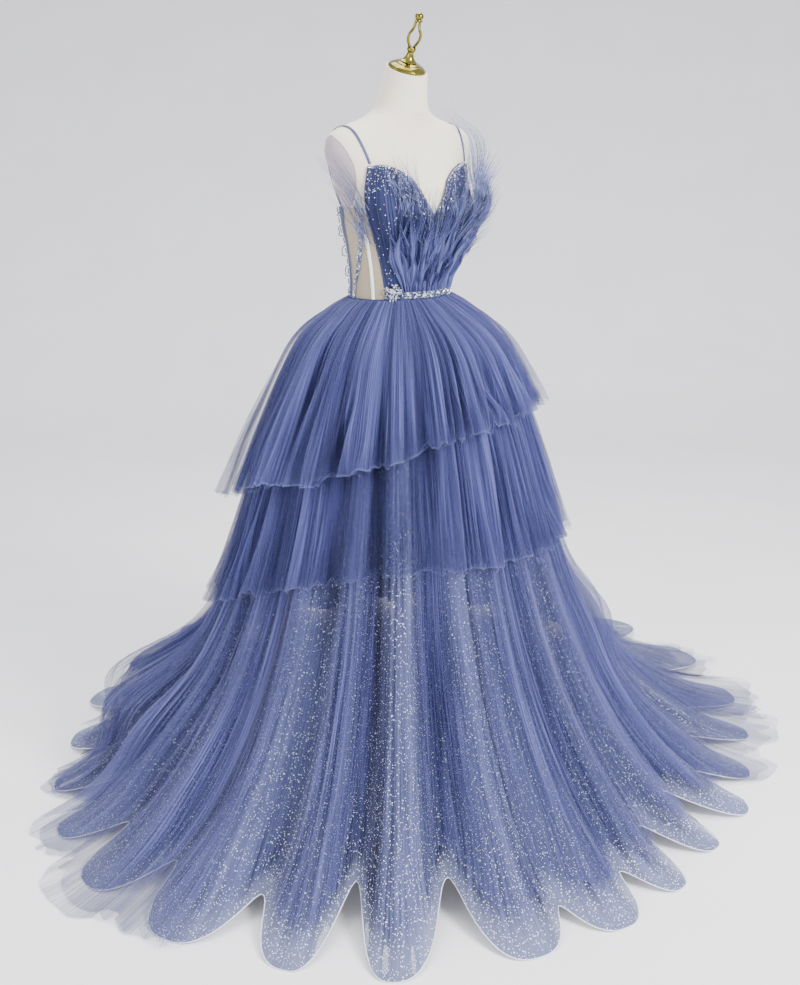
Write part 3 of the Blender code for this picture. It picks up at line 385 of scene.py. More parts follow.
def skirt_radius(count, z, fold_share=1.0):
    """Distance of the innermost layer from the axis at a place round it and a height."""
    s, c, waist, hem, dip, side = way_round(count)
    at = min(max(z, 0.0), WAIST_Z) / WAIST_Z * LEVELS
    low = min(int(at), LEVELS - 1)
    outline = mix(outline_by_level[low][0], outline_by_level[low + 1][0], at - low)
    depth = mix(outline_by_level[low][1], outline_by_level[low + 1][1], at - low)
    plan = waist + (side - waist) * smooth((WAIST_Z - z) / (WAIST_Z - ROUND_BELOW))
    train = max(0.0, 1 - z / TRAIN_BELOW) ** 2.4
    return plan + WAIST_OFF + outline - side + (hem - SKIRT_OUTLINE[0][1]) * train - depth * dip * fold_share


HEM_ROLL, ROLL_BELOW, HEM_WANDER = 0.42, 0.16, 0.014


def skirt_point(count, z, off=0.0, relief=0.0, fold_share=1.0):
    """A point off the innermost layer by a level distance, with its relief square to the cloth."""
    radius = skirt_radius(count, z, fold_share)
    slope = (skirt_radius(count, z + 0.004, fold_share) - skirt_radius(count, z - 0.004, fold_share)) / 0.008
    if z > WAIST_Z - 0.012:
        slope *= smooth((WAIST_Z - z) / 0.012)
    tilt = math.atan(-slope)
    square = smooth((z - 0.55) / 0.40)
    radius += off * (1 - square + square * math.cos(tilt)) + relief * math.cos(tilt)
    low = smooth((ROLL_BELOW - z) / ROLL_BELOW)
    lobe = math.floor(count + 0.5) % FOLD_COUNT
    roll = HEM_ROLL * low * (0.55 + 0.9 * abs(math.sin(2.3 * lobe)))
    around = 2 * math.pi * count / FOLD_COUNT
    radius += HEM_WANDER * low * math.sin(7 * around) * math.sin(3 * around + 1.0)
    z += off * square * math.sin(tilt) + relief * math.sin(tilt)
    # The stiff hem rolls: the sides of each lobe swing out over the hollows beside it.
    s, c = way_round(count)[:2]
    if roll > 0:
        turn = math.radians(
            into_range(fold_angle(count + roll * math.sin(2 * math.pi * count) / (2 * math.pi)))
        )
        s, c = math.sin(turn), math.cos(turn)
    return Vector((radius * s, -radius * c, z))


MEAN_TRAIN = 0.12
down_the_cloth = [0.0]      # length of cloth from the floor up to each level, along the mean outline
for k in range(LEVELS):
    low, high = (
        outline_by_level[n][0] + MEAN_TRAIN * max(0.0, 1 - WAIST_Z * n / LEVELS / TRAIN_BELOW) ** 2.4
        for n in (k, k + 1)
    )
    down_the_cloth.append(down_the_cloth[-1] + math.hypot(WAIST_Z / LEVELS, high - low))


def cloth_up(z):
    """Length of cloth from the floor up to a height."""
    return down_the_cloth[min(max(round(z / WAIST_Z * LEVELS), 0), LEVELS)]


print(FOLD_COUNT, "folds round the skirt,", round(cloth_up(WAIST_Z), 3), "m from waist to hem")


# %% [markdown]
# ## Helpers for shapes
#
# Nearly every piece of cloth starts as a flat grid, as cloth does. Each point of the grid is then carried to
# its place on the body, and the grid keeps its flat coordinates, in metres of cloth, as a UV map. Patterns
# in the materials read that map, so the threads and gathers run with the cloth. A second value, the fold
# shade, says for each point whether it lies on a ridge (1) or in a hollow (0). From it the net finishes paint
# shade into the hollows and a highlight onto the ridges.

# %% Helpers for shapes
def finish_piece(name, bm, material, smooth_faces=True):
    """Turns a bmesh into a named piece of the gown that rides on the root."""
    mesh = bpy.data.meshes.new(name)
    bm.to_mesh(mesh)
    bm.free()
    if smooth_faces:
        mesh.shade_smooth()
    mesh.materials.append(material)
    piece = bpy.data.objects.new(name, mesh)
    bpy.context.scene.collection.objects.link(piece)
    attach(piece, "root")
    return piece


def cloth(name, columns, rows, place, size, material, closed=False, rise=None):
    """A sheet of cloth. place(u, v) gives a point, its fold shade (for painted shade and highlight) and, if
    not whole, its cover.
    """
    bm = bmesh.new()
    bmesh.ops.create_grid(bm, x_segments=columns, y_segments=rows, size=0.5)
    flat = bm.loops.layers.uv.new("cloth")
    fold_shade = bm.verts.layers.float.new("fold_shade")
    cover = bm.verts.layers.float.new("cover")
    for face in bm.faces:
        for loop in face.loops:
            up = loop.vert.co.y + 0.5
            loop[flat].uv = ((loop.vert.co.x + 0.5) * size[0], rise(up) if rise else up * size[1])
    for vert in bm.verts:
        vert.co, vert[fold_shade], *rest = place(vert.co.x + 0.5, vert.co.y + 0.5)
        vert[cover] = rest[0] if rest else 1.0
    if closed:
        bmesh.ops.remove_doubles(bm, verts=bm.verts, dist=1e-6)
    bm.normal_update()
    piece = finish_piece(name, bm, material)
    area = sum(p.area for p in piece.data.polygons)
    print(name, len(piece.data.polygons), "faces,", round(area, 4), "m2 of cloth")
    return piece


def tubes(name, paths, radius, sides, material, taper=False):
    """Round cords along several paths, as one piece. A tapered cord thins out towards its end."""
    bm = bmesh.new()
    for path in paths:
        rings = []
        for k, point in enumerate(path):
            along = (path[min(k + 1, len(path) - 1)] - path[max(k - 1, 0)]).normalized()
            width = radius * (1 - 0.85 * k / (len(path) - 1)) if taper else radius
            turn = along.to_track_quat("Z", "Y").to_matrix().to_4x4()
            circle = bmesh.ops.create_circle(
                bm, segments=sides, radius=width, matrix=Matrix.Translation(point) @ turn
            )["verts"]
            rings.append(circle)
        for low, high in zip(rings, rings[1:]):
            count = len(low)
            shift = min(range(count), key=lambda s: (low[0].co - high[s].co).length)
            for k in range(count):
                bm.faces.new(
                    (low[k], low[(k + 1) % count], high[(k + 1 + shift) % count], high[(k + shift) % count])
                )
        bm.faces.new(rings[0][::-1])
        bm.faces.new(rings[-1])
    bmesh.ops.recalc_face_normals(bm, faces=bm.faces)
    piece = finish_piece(name, bm, material)
    print(name, len(piece.data.polygons), "faces")
    return piece


# %% [markdown]
# ## The dress form
#
# The form is a padded torso under a tight cream jersey cover, with no arms or head. Its cover could be a
# subdivided copy of the CAD solid, but a finer grid through the same sections gives a rounder outline. The
# cut ends of the shoulders carry plates, painted greyer than the cover as painted shade, and a fine seam
# runs round the base of the neck.

# %% Jersey finish
ARM_PLATE_Y, ARM_PLATE_Z, ARM_PLATE_TALL, ARM_PLATE_DEEP = 0.006, 1.388, 0.076, 0.050
ARM_PLATE_FROM = 0.118      # how far from the middle the plates start
ANY_WIDTH = 1e3


def jersey_finish():
    # Cotton jersey, knitted: matte, with loops about 1 mm apart that only break up the light.
    made, tree, shader = start_finish("cream cotton jersey, knitted", 0.85, Sheen_Weight=0.15)
    place = in_space(tree)
    loops = noise(tree, place, 900.0, 2.0)
    cloud = noise(tree, place, 9.0, 3.0)
    cream = ramped(tree, cloud, (0.3, "#d9d0c0"), (0.7, "#e2dacb"))
    # The cut ends of the shoulders are ovals 152 mm tall and 100 mm deep, set in with a fine seam and painted
    # greyer as painted shade.
    oval = add(
        tree, "ShaderNodeMapping", {"vector_type": "TEXTURE"},
        {0: place, "Location": (0.0, ARM_PLATE_Y, ARM_PLATE_Z),
         "Scale": (ANY_WIDTH, ARM_PLATE_DEEP, ARM_PLATE_TALL)},
    ).outputs[0]
    far = add(tree, "ShaderNodeVectorMath", {"operation": "LENGTH"}, {0: oval}).outputs["Value"]
    across = add(tree, "ShaderNodeSeparateXYZ", inputs={0: place}).outputs["X"]
    side = maths(tree, "GREATER_THAN", maths(tree, "ABSOLUTE", across), ARM_PLATE_FROM)
    plate_shade = maths(tree, "MULTIPLY", maths(tree, "LESS_THAN", far, 1.0), side)
    seam = maths(tree, "LESS_THAN", maths(tree, "ABSOLUTE", maths(tree, "SUBTRACT", far, 1.0)), 0.014)
    seam = maths(tree, "MULTIPLY", seam, side)
    # Painted shade: the plates take a greyer colour than the cream.
    tint = add(
        tree, "ShaderNodeMix", {"data_type": "RGBA"}, {0: plate_shade, 6: cream, 7: linear("#a59aa2")}
    ).outputs[2]
    tint = add(
        tree, "ShaderNodeMix", {"data_type": "RGBA"}, {0: seam, 6: tint, 7: linear("#8d8587")}
    ).outputs[2]
    emboss(tree, shader, loops, 0.12, 0.0006)
    wire(tree, shader, Base_Color=tint)
    return made


jersey = jersey_finish()


# %% Form
def tilted_body(angle, z):
    """A point of the form, whose neck sections lean forward."""
    point = body_point(angle, z)
    tilt = math.radians(read(FORM_SECTIONS, z, 5))
    point.z += math.tan(tilt) * (point.y + read(FORM_SECTIONS, z, 4))
    return point


def make_form():
    low, high = FORM_SECTIONS[0][0], FORM_SECTIONS[-1][0]
    bm = bmesh.new()
    bmesh.ops.create_grid(bm, x_segments=120, y_segments=110, size=0.5)
    for vert in bm.verts:
        angle = into_range(360 * (vert.co.x + 0.5))
        vert.co = tilted_body(angle, mix(low, high, vert.co.y + 0.5))
    bmesh.ops.remove_doubles(bm, verts=bm.verts, dist=1e-6)
    bmesh.ops.holes_fill(bm, edges=[edge for edge in bm.edges if edge.is_boundary], sides=0)
    bmesh.ops.recalc_face_normals(bm, faces=bm.faces)
    form = finish_piece("form_cover", bm, jersey)
    form.data.set_sharp_from_angle(angle=math.radians(50))
    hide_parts("form_torso")
    ring = [tilted_body(into_range(3.6 * k), 1.512) for k in range(101)]
    seam = tubes("neck_seam", [ring], 0.0007, 6, jersey)


make_form()


# %% [markdown]
# ## The metal cap, the finial and the stand
#
# The cap is a spun dish and the finial is cast in two halves, then both are polished and plated in a pale,
# slightly green brass. A profile that is spun round an axis makes the dish, the stem and the ball, and two
# bowed wires make the open scroll. The stand is hidden by the skirt and keeps its CAD solids.

# %% Brass finish
def brass_finish():
    # Polished brass plate: a mirror-like metal whose highs are pale and whose lows turn olive.
    made, tree, shader = start_finish("polished brass plate", 0.16, Metallic=1.0)
    place = in_space(tree)
    cloud = noise(tree, place, 60.0, 3.0)
    tint = ramped(tree, cloud, (0.3, "#5c561f"), (0.7, "#978b43"))
    rough = rescale(tree, cloud, (0.10, 0.24))
    wire(tree, shader, Base_Color=tint, Roughness=rough)
    return made


brass = brass_finish()

# %% Cap and finial
DOME = (
    (0, 0), (0.0398, 0), (0.0410, 0.0010), (0.0410, 0.0022), (0.0396, 0.0034), (0.0385, 0.0055),
    (0.0345, 0.0080),
    (0.0300, 0.0105), (0.0262, 0.0112), (0.0255, 0.0128), (0.0200, 0.0140), (0.0190, 0.0145), (0, 0.0145),
)
STEM = (
    (0, 0.0148), (0.0165, 0.0148), (0.0175, 0.0158), (0.0175, 0.0170), (0.0150, 0.0188), (0.0120, 0.0215),
    (0.0096, 0.0250), (0.0080, 0.0290), (0.0071, 0.0330), (0.0068, 0.0360), (0.0085, 0.0388),
    (0.0095, 0.0410),
    (0.0095, 0.0432), (0.0090, 0.0455), (0.0078, 0.0464), (0, 0.0464),
)
KNOB = (
    (0, 0.1014), (0.0086, 0.1014), (0.0092, 0.1023), (0.0092, 0.1032), (0.0070, 0.1045), (0.0066, 0.1055),
    (0.0074, 0.1072), (0.0086, 0.1090), (0.0091, 0.1110), (0.0090, 0.1130), (0.0079, 0.1154),
    (0.0062, 0.1172),
    (0.0044, 0.1186), (0.0024, 0.1195), (0, 0.1200),
)
SCROLL = (
    (0.0470, 0.0056), (0.0520, 0.0096), (0.0590, 0.0138), (0.0680, 0.0158), (0.0760, 0.0142),
    (0.0840, 0.0086), (0.0920, 0.0062), (0.1010, 0.0052),
)
NECK_SHIFT, NECK_TILT = FORM_SECTIONS[-1][4:]
neck_seat = Matrix.Translation((0, -NECK_SHIFT, FORM_SECTIONS[-1][0] + 0.0005)) @ Matrix.Rotation(
    math.radians(NECK_TILT), 4, "X"
)


def spun(name, outline, material, node):
    bm = bmesh.new()
    corners = [bm.verts.new((radius, 0, height)) for radius, height in outline]
    edges = [bm.edges.new(pair) for pair in zip(corners, corners[1:])]
    bmesh.ops.spin(
        bm, geom=corners + edges, cent=(0, 0, 0), axis=(0, 0, 1), angle=2 * math.pi, steps=48, use_merge=True
    )
    bmesh.ops.remove_doubles(bm, verts=bm.verts, dist=1e-6)
    bmesh.ops.recalc_face_normals(bm, faces=bm.faces)
    bmesh.ops.transform(bm, matrix=neck_seat, verts=bm.verts)
    piece = finish_piece(name, bm, material)
    piece.data.set_sharp_from_angle(angle=math.radians(45))
    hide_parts(node)


spun("spun_cap", DOME, brass, "cap_dome")
spun("cast_stem", STEM, brass, "finial_stem")
spun("cast_ball", KNOB, brass, "finial_knob")
scrolls = []
for side in (-1, 1):
    heights = [mix(SCROLL[0][0], SCROLL[-1][0], k / 24) for k in range(25)]
    scrolls.append([neck_seat @ Vector((side * read(SCROLL, up), 0, up)) for up in heights])
scroll = tubes("cast_scroll", scrolls, 0.0030, 12, brass)
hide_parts("finial_arm_right", "finial_arm_left")


# %% Stand
def stand_finish():
    # Powder-coated steel: an even satin skin with a faint orange peel, about 1 mm from hill to hill.
    made, tree, shader = start_finish("powder-coated steel", 0.45)
    place = in_space(tree)
    peel = noise(tree, place, 700.0)
    tint = ramped(tree, peel, (0.3, "#d2d2d2"), (0.7, "#dadada"))
    emboss(tree, shader, peel, 0.1, 0.0004)
    wire(tree, shader, Base_Color=tint)
    return made


coated = stand_finish()
for name in ("stand_base", "stand_pole"):
    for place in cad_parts[name].material_slots:
        place.material = coated
print("stand finished")


# %% [markdown]
# ## Net finishes
#
# Tulle is a soft net of hexagonal holes about 1.5 mm wide. From a step away the holes blend into a haze
# whose strength depends on how many plies lie behind one another, so each ply is partly clear, and gathers
# show as streaks that run down the cloth. Its colour is painted darker in the hollows of the folds and paler
# on the ridges, as painted shade and highlight. The net itself is too fine to show, so slanting lines 3 mm
# apart are drawn. Glitter net carries flakes of silver foil, one to three millimetres wide, printed on in a
# random scatter.

# %% Net finish
GATHERS = (
    # streaks per metre across the cloth and down it, weight
    (260.0, 4.0, 0.46), (18.0, 1.3, 0.30), (5.0, 0.5, 0.24),
)
FLAKES = (
    # cells per metre, a flake's radius as a share of its cell, share of cells that hold one
    (215.0, 0.19, 1.0), (110.0, 0.14, 0.80),
)


def tinted(tree, share, colour, over):
    """A colour laid over another one, as strongly as share says."""
    return add(
        tree, "ShaderNodeMix", {"data_type": "RGBA"}, {0: share, 6: over, 7: linear(colour)}
    ).outputs[2]


def gathers(tree, flat):
    """Streaks that run down the cloth: fine gathers every 5 mm or so, in bundles about 60 and 200 mm wide."""
    streak = 0.0
    for across, down, weight in GATHERS:
        drawn = add(tree, "ShaderNodeMapping", inputs={0: flat, "Scale": (across, down, 1.0)}).outputs[0]
        drawn = noise(tree, drawn, 1.0, 1.0)
        streak = maths(tree, "ADD", streak, maths(tree, "MULTIPLY", drawn, weight))
    return rescale(tree, streak, (0.0, 1.0), (0.41, 0.59))


def net_finish(name, dark, light, clear, full, glitter=0.0, hem_pale=None):
    """Soft net, dyed. dark and light are the ends of its painted shade and highlight; clear and full are how
    solid it looks between the gathers and on them.
    """
    made, tree, shader = start_finish(
        name, 0.8, Sheen_Weight=0.10, Sheen_Roughness=0.5, Specular_IOR_Level=0.15
    )
    flat = on_cloth(tree)
    fold_shade = add(tree, "ShaderNodeAttribute", {"attribute_name": "fold_shade"}).outputs["Fac"]
    cover = add(tree, "ShaderNodeAttribute", {"attribute_name": "cover"}).outputs["Fac"]
    up = add(tree, "ShaderNodeSeparateXYZ", inputs={0: flat}).outputs["Y"]
    streak = gathers(tree, flat)
    # Painted shade and highlight: the fold shade darkens the hollows of the folds and lightens the ridges.
    # The gather streaks also shift the colour: partly the net's depth where plies bunch, partly painted
    # shade.
    tone = maths(tree, "ADD", maths(tree, "MULTIPLY", fold_shade, 0.55), maths(tree, "MULTIPLY", streak, 0.45))
    colour = ramped(tree, tone, (0.18, dark), (0.88, light))
    net = add(
        tree, "ShaderNodeTexWave", {"bands_direction": "DIAGONAL"}, {"Vector": flat, "Scale": 157.0}
    ).outputs[1]
    net = rescale(tree, net, (0.86, 1.04))
    solid = rescale(tree, streak, (clear, full))
    solid = maths(tree, "MULTIPLY", maths(tree, "MULTIPLY", solid, cover), net, True)
    if hem_pale:
        # The stiff braid behind the hem shows as a pale band that fades out between 30 and 130 mm up.
        band = add(
            tree, "ShaderNodeMapRange", {"interpolation_type": "SMOOTHSTEP"},
            {0: up, 1: 0.03, 2: 0.13, 3: 1, 4: 0}
        )
        colour = tinted(tree, maths(tree, "MULTIPLY", band.outputs[0], 0.42), hem_pale, colour)
        solid = maths(tree, "SUBTRACT", solid, maths(tree, "MULTIPLY", band.outputs[0], 0.12), True)
    else:
        # The raw edge of soft net catches the light as a line 3 mm wide.
        edge = maths(tree, "LESS_THAN", up, 0.0028)
        colour = tinted(tree, maths(tree, "MULTIPLY", edge, 0.25), "#8f98c4", colour)
        solid = maths(tree, "ADD", solid, maths(tree, "MULTIPLY", edge, 0.08), True)
    if glitter:
        # The foil is printed thickest at the hem and thins out towards the waist.
        rain = rescale(tree, up, (1.15, 0.35), (0.0, 1.2))
        # The scatter reads the place on the gown, so a flake stays round where the net is gathered.
        room = in_space(tree)
        for flakes, size, share in FLAKES:
            cells = add(tree, "ShaderNodeTexVoronoi", inputs={"Vector": room, "Scale": flakes})
            chance = add(tree, "ShaderNodeSeparateColor", inputs={0: cells.outputs["Color"]}).outputs[0]
            spot = maths(tree, "LESS_THAN", cells.outputs["Distance"], size)
            spot = maths(
                tree, "MULTIPLY", spot,
                maths(tree, "LESS_THAN", chance, maths(tree, "MULTIPLY", rain, share * glitter))
            )
            colour = tinted(tree, spot, "#e6eeff", colour)
            solid = maths(tree, "MAXIMUM", solid, spot)
    wire(tree, shader, Base_Color=colour, Alpha=solid)
    return made


# The first colour of each net is its painted shade in the hollows, and the second is its painted highlight on
# the ridges.
glitter_net = net_finish("blue net with silver foil flakes", "#070a22", "#5c628c", 0.96, 1.0, 1.0, "#7f87ab")
tier_net = net_finish("blue tulle, gathered", "#11153b", "#52568e", 0.48, 0.92)
tier_net_inner = net_finish("blue tulle, gathered, under ply", "#101438", "#44477d", 0.55, 0.9)
floor_net = net_finish("blue tulle, gathered, thin", "#171b49", "#5a5d92", 0.16, 0.88)
print("net finishes made")

# %% [markdown]
# ## The skirt's layers of net
#
# All layers hang from the waist seam. Each is a strip of net, several times as wide as the waist, gathered
# until it fits. Gathers start as fine crimps at the seam, and run together into fewer and deeper folds on
# the way down. Simulating that many gathers is slow, so the grid is carried to the outline of the skirt,
# with the main folds from the table above and finer crimps added square to the cloth. Two plies make each
# tier.

# %% Crimps
DROP = (
    # share of the rows, share of the way from the waist to the hem
    (0.00, 0.000), (0.04, 0.006), (0.08, 0.020), (0.14, 0.050), (0.22, 0.110), (0.36, 0.25), (0.54, 0.47),
    (0.72, 0.72), (0.86, 0.89), (0.94, 0.96), (1.00, 1.000),
)


def crimps(seed, number):
    """Uneven gathers: a function that gives their height, from -1 to 1, at a share round and a share down."""
    chance = random.Random(seed)
    waves = [(k, chance.uniform(0.25, 0.7), chance.uniform(0, 6.28)) for k in (3, 7, 13, 23)]
    swell = [(k, chance.uniform(0, 6.28)) for k in (5, 11, 19, 31)]
    sway = [(k, chance.uniform(0, 6.28)) for k in (4, 9, 16)]

    def height(u, v):
        turn = 2 * math.pi * u
        phase = number * u + sum(a * math.sin(k * turn + b) for k, a, b in waves)
        phase += 0.35 * v * sum(math.sin(k * turn + b + 2.2 * v) for k, b in sway)
        size = max(0.08, 0.55 + 0.32 * sum(math.sin(k * turn + b) for k, b in swell))
        return size * math.cos(2 * math.pi * phase)

    return height


def table_from(rows):
    return lambda angle: read(rows, angle)


TOP_HEM = table_from((
    (-180, 0.625), (-141, 0.640), (-110, 0.700), (-87, 0.745), (-60, 0.785), (-39, 0.815), (-26, 0.842),
    (-8, 0.860), (20, 0.873), (52, 0.872), (90, 0.800), (135, 0.680), (180, 0.625),
))
MIDDLE_HEM = table_from((
    (-180, 0.400), (-128, 0.420), (-95, 0.500), (-63, 0.573), (-38, 0.602), (-17, 0.606), (20, 0.600),
    (52, 0.592), (90, 0.540), (135, 0.450), (180, 0.400),
))
FLOOR_HEM = table_from((
    (-180, 0.060), (-150, 0.050), (-122, 0.0009), (-76, 0.0009), (-58, 0.045), (-20, 0.055), (20, 0.055),
    (38, 0.045), (50, 0.0009), (84, 0.0009), (110, 0.050), (150, 0.060), (180, 0.060),
))
FLOOR_SPREAD = (
    (-180, 0.0), (-114, 0.0), (-100, 0.050), (-80, 0.075), (-68, 0.010), (-60, 0.0), (36, 0.0), (50, 0.055),
    (70, 0.060), (90, 0.010), (100, 0.0), (180, 0.0),
)
FLOOR_PUFFS = (
    # angle, spread, height, height's spread, distance
    (-130.0, 22.0, 0.200, 0.095, 0.130), (52.0, 14.0, 0.400, 0.075, 0.045),
)
FLOOR_OFF = (
    (0.000, 0.0180), (0.300, 0.0140), (0.900, 0.0110), (1.030, 0.0070), (1.090, 0.0034), (1.112, 0.0022),
    (1.122, 0.0026),
)
MIDDLE_OFF = (
    (0.300, 0.0440), (0.500, 0.0350), (0.700, 0.0280), (0.900, 0.0220), (1.030, 0.0140), (1.090, 0.0068),
    (1.112, 0.0044), (1.122, 0.0052),
)
TOP_OFF = (
    (0.600, 0.1000), (0.790, 0.0700), (0.870, 0.0560), (0.930, 0.0460), (1.030, 0.0300), (1.090, 0.0115),
    (1.112, 0.0070), (1.122, 0.0082),
)
FLAT_OFF = ((0.0, 0.0), (1.2, 0.0))
HEM_REST = 0.0012


def base_hem(count):
    return HEM_REST + trough(count, 2)


def floor_hem(count):
    up = FLOOR_HEM(into_range(fold_angle(count)))
    return up + trough(count, 2) * min(up / 0.045, 1.0)


def tier_hem(table):
    return lambda count: table(into_range(fold_angle(count)))


def floor_puff(count, z):
    """How far the overlay puffs out or spreads over the floor at a place."""
    angle = into_range(fold_angle(count))
    out = read(FLOOR_SPREAD, angle) * max(0.0, 1 - z / 0.12) ** 2
    for middle, spread, height, tall, far in FLOOR_PUFFS:
        out += far * math.exp(
            -(((angle - middle) / spread) ** 2) - ((z - height) / tall) ** 2
        ) * smooth(z / 0.10)
    return out


# %% How closed each layer looks
# Where the net lies in single plies it looks clear, and where it is bundled it looks solid. The overlay is
# bundled into panels with the foil-printed net showing between them. The top tier has a clear wing each
# side.
OVERLAY_COVER = (
    (-180, 0.70), (-165, 0.35), (-150, 0.85), (-138, 1.00), (-128, 1.00), (-112, 1.00), (-98, 0.75),
    (-88, 0.95),
    (-76, 1.00), (-67, 0.30), (-59, 0.18), (-53, 0.85), (-48, 0.70), (-44, 0.22), (-38, 0.12), (-33, 0.45),
    (-26, 0.90), (-19, 0.35), (-11, 0.60), (-3, 0.95), (8, 0.80), (18, 0.45), (27, 0.95), (40, 0.75),
    (55, 0.50), (68, 0.80), (85, 0.45), (100, 0.85), (118, 0.40), (136, 0.85), (155, 0.45), (180, 0.70),
)
MIDDLE_COVER = (
    (-180, 0.90), (-140, 0.75), (-122, 0.60), (-104, 0.90), (-84, 0.80), (-66, 0.85), (-50, 0.45),
    (-41, 0.50),
    (-30, 0.40), (-18, 0.85), (-4, 0.95), (12, 0.80), (30, 1.00), (48, 0.60), (62, 0.55), (90, 0.85),
    (180, 0.90),
)
TOP_COVER = (
    (-180, 0.85), (-150, 0.60), (-132, 0.36), (-116, 0.40), (-100, 0.72), (-84, 0.95), (-62, 0.85),
    (-46, 1.00),
    (-34, 0.80), (-20, 1.00), (0, 0.95), (22, 0.90), (38, 0.70), (50, 0.50), (62, 0.45), (84, 0.70),
    (110, 0.90),
    (180, 0.85),
)
WHOLE = ((-180, 1.0), (180, 1.0))

# %% Layers
def skirt_layer(
    name, hem, off_table, off_share, crimp_sizes, seed, fold_share, cover_table, size, area, material, nodes,
    grid, slot
):
    """One ply all round. crimp_sizes has heights at waist and hem, for fine, middling and wide crimps."""
    sets = [crimps(seed + k, number) for k, number in enumerate((190, 53, 19))]
    ragged, frayed = crimps(seed + 5, 31), crimps(seed + 6, 131)
    raw_edged = cover_table is not WHOLE

    def place(u, v):
        count = u * FOLD_COUNT
        down = read(DROP, 1 - v)
        angle = into_range(fold_angle(count))
        end = hem(count % FOLD_COUNT) + (0.008 * ragged(u, 0.3) + 0.003 * frayed(u, 0.1)) * raw_edged
        z = WAIST_Z + (end - WAIST_Z) * down
        heights = [crimp(u, down) for crimp in sets]
        ease = (1.0, smooth((WAIST_Z - z) / 0.09), smooth((WAIST_Z - z) / 0.30))
        relief = sum(mix(*crimp_sizes[k], down) * heights[k] * ease[k] for k in range(3))
        off = read(off_table, z) * off_share
        point = skirt_point(count % FOLD_COUNT, z, off, relief, fold_share)
        if name.startswith("overlay"):
            s, c = way_round(count % FOLD_COUNT)[:2]
            share = 1.0 if name == "overlay_outer" else 0.72
            point += Vector((s, -c, 0)) * floor_puff(count, z) * share
        point.z = max(point.z, HEM_REST + off * 0.1)
        # The fold shade: higher on the crimps' crests and lower in the folds' troughs, for the net's painted
        # shade and highlight.
        dip = trough(count % FOLD_COUNT, 1) * smooth((WAIST_Z - z) / 0.3)
        ridge_shade = 0.5 + 0.16 * heights[0] + 0.22 * heights[1] + 0.22 * heights[2] * ease[2] + 0.45 * (
            0.45 - dip
        )
        whole = mix(1.0, read(cover_table, angle), smooth(down / 0.35))
        if raw_edged:
            whole *= 1 - 0.34 * smooth((down - 0.80 + 0.08 * heights[2]) / 0.20)
        return point, min(max(ridge_shade, 0.0), 1.0), whole

    middle_hem = sum(hem(k) for k in range(FOLD_COUNT)) / FOLD_COUNT

    def rise(v):
        return cloth_up(WAIST_Z + (middle_hem - WAIST_Z) * read(DROP, 1 - v)) - cloth_up(middle_hem)

    piece = cloth(name, grid[0], grid[1], place, size, material, closed=True, rise=rise)
    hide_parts(*nodes)


LAYERS = (
    # name, hem, stand-off, its share, crimps (waist and hem: fine, middling, wide), seed, folds,
    # cover, cut, area, finish, nodes, grid, slot
    ("underskirt", base_hem, FLAT_OFF, 1.0, ((0.0003, 0.0), (0.0008, 0.003), (0.0, 0.0)), 1, 1.0,
     WHOLE, (6.6, 1.42), 4.15, glitter_net, ("skirt_base_front", "skirt_base_back"), (720, 90),
     "glitter_tulle"),
    ("overlay_inner", floor_hem, FLOOR_OFF, 0.55, ((0.0004, 0.0012), (0.0008, 0.007), (0.0, 0.006)), 11,
     0.96,
     OVERLAY_COVER, (6.4, 1.38), 3.9, floor_net, ("tier_floor_front", "tier_floor_back"), (800, 70),
     "blue_tulle"),
    ("overlay_outer", floor_hem, FLOOR_OFF, 1.0, ((0.0004, 0.0016), (0.0008, 0.011), (0.0, 0.012)), 21, 0.90,
     OVERLAY_COVER, (6.4, 1.36), 4.0, floor_net, ("tier_floor_front", "tier_floor_back"), (800, 70),
     "blue_tulle"),
    ("middle_tier_inner", tier_hem(MIDDLE_HEM), MIDDLE_OFF, 0.70,
     ((0.0005, 0.0016), (0.0008, 0.004), (0.0, 0.004)), 31,
     0.95, MIDDLE_COVER, (3.9, 0.70), 1.5, tier_net_inner, ("tier_middle_front", "tier_middle_back"),
     (900, 44),
     "blue_tulle"),
    ("middle_tier_outer", tier_hem(MIDDLE_HEM), MIDDLE_OFF, 1.0,
     ((0.0005, 0.0018), (0.0008, 0.010), (0.0, 0.010)), 41,
     0.92, MIDDLE_COVER, (4.2, 0.70), 1.6, tier_net, ("tier_middle_front", "tier_middle_back"), (900, 44),
     "blue_tulle"),
    ("top_tier_inner", tier_hem(TOP_HEM), TOP_OFF, 0.60, ((0.0006, 0.0018), (0.0010, 0.005), (0.0, 0.008)),
     51, 1.0,
     TOP_COVER, (3.2, 0.46), 0.9, tier_net_inner, ("tier_top_front", "tier_top_back"), (900, 36),
     "blue_tulle"),
    ("top_tier_outer", tier_hem(TOP_HEM), TOP_OFF, 0.96, ((0.0006, 0.0020), (0.0010, 0.012), (0.0, 0.018)),
     61, 1.0,
     TOP_COVER, (3.4, 0.50), 1.0, tier_net, ("tier_top_front", "tier_top_back"), (900, 36), "blue_tulle"),
)
for row in LAYERS:
    skirt_layer(*row)


# %% [markdown]
# ## The stiffened hem
#
# A band of horsehair braid, a stiff open weave of nylon, is sewn inside the hem of the underskirt. It makes
# the hem roll in deep waves. It is a sheet of its own just inside the net, and its bright folded edge is a
# fine cord.

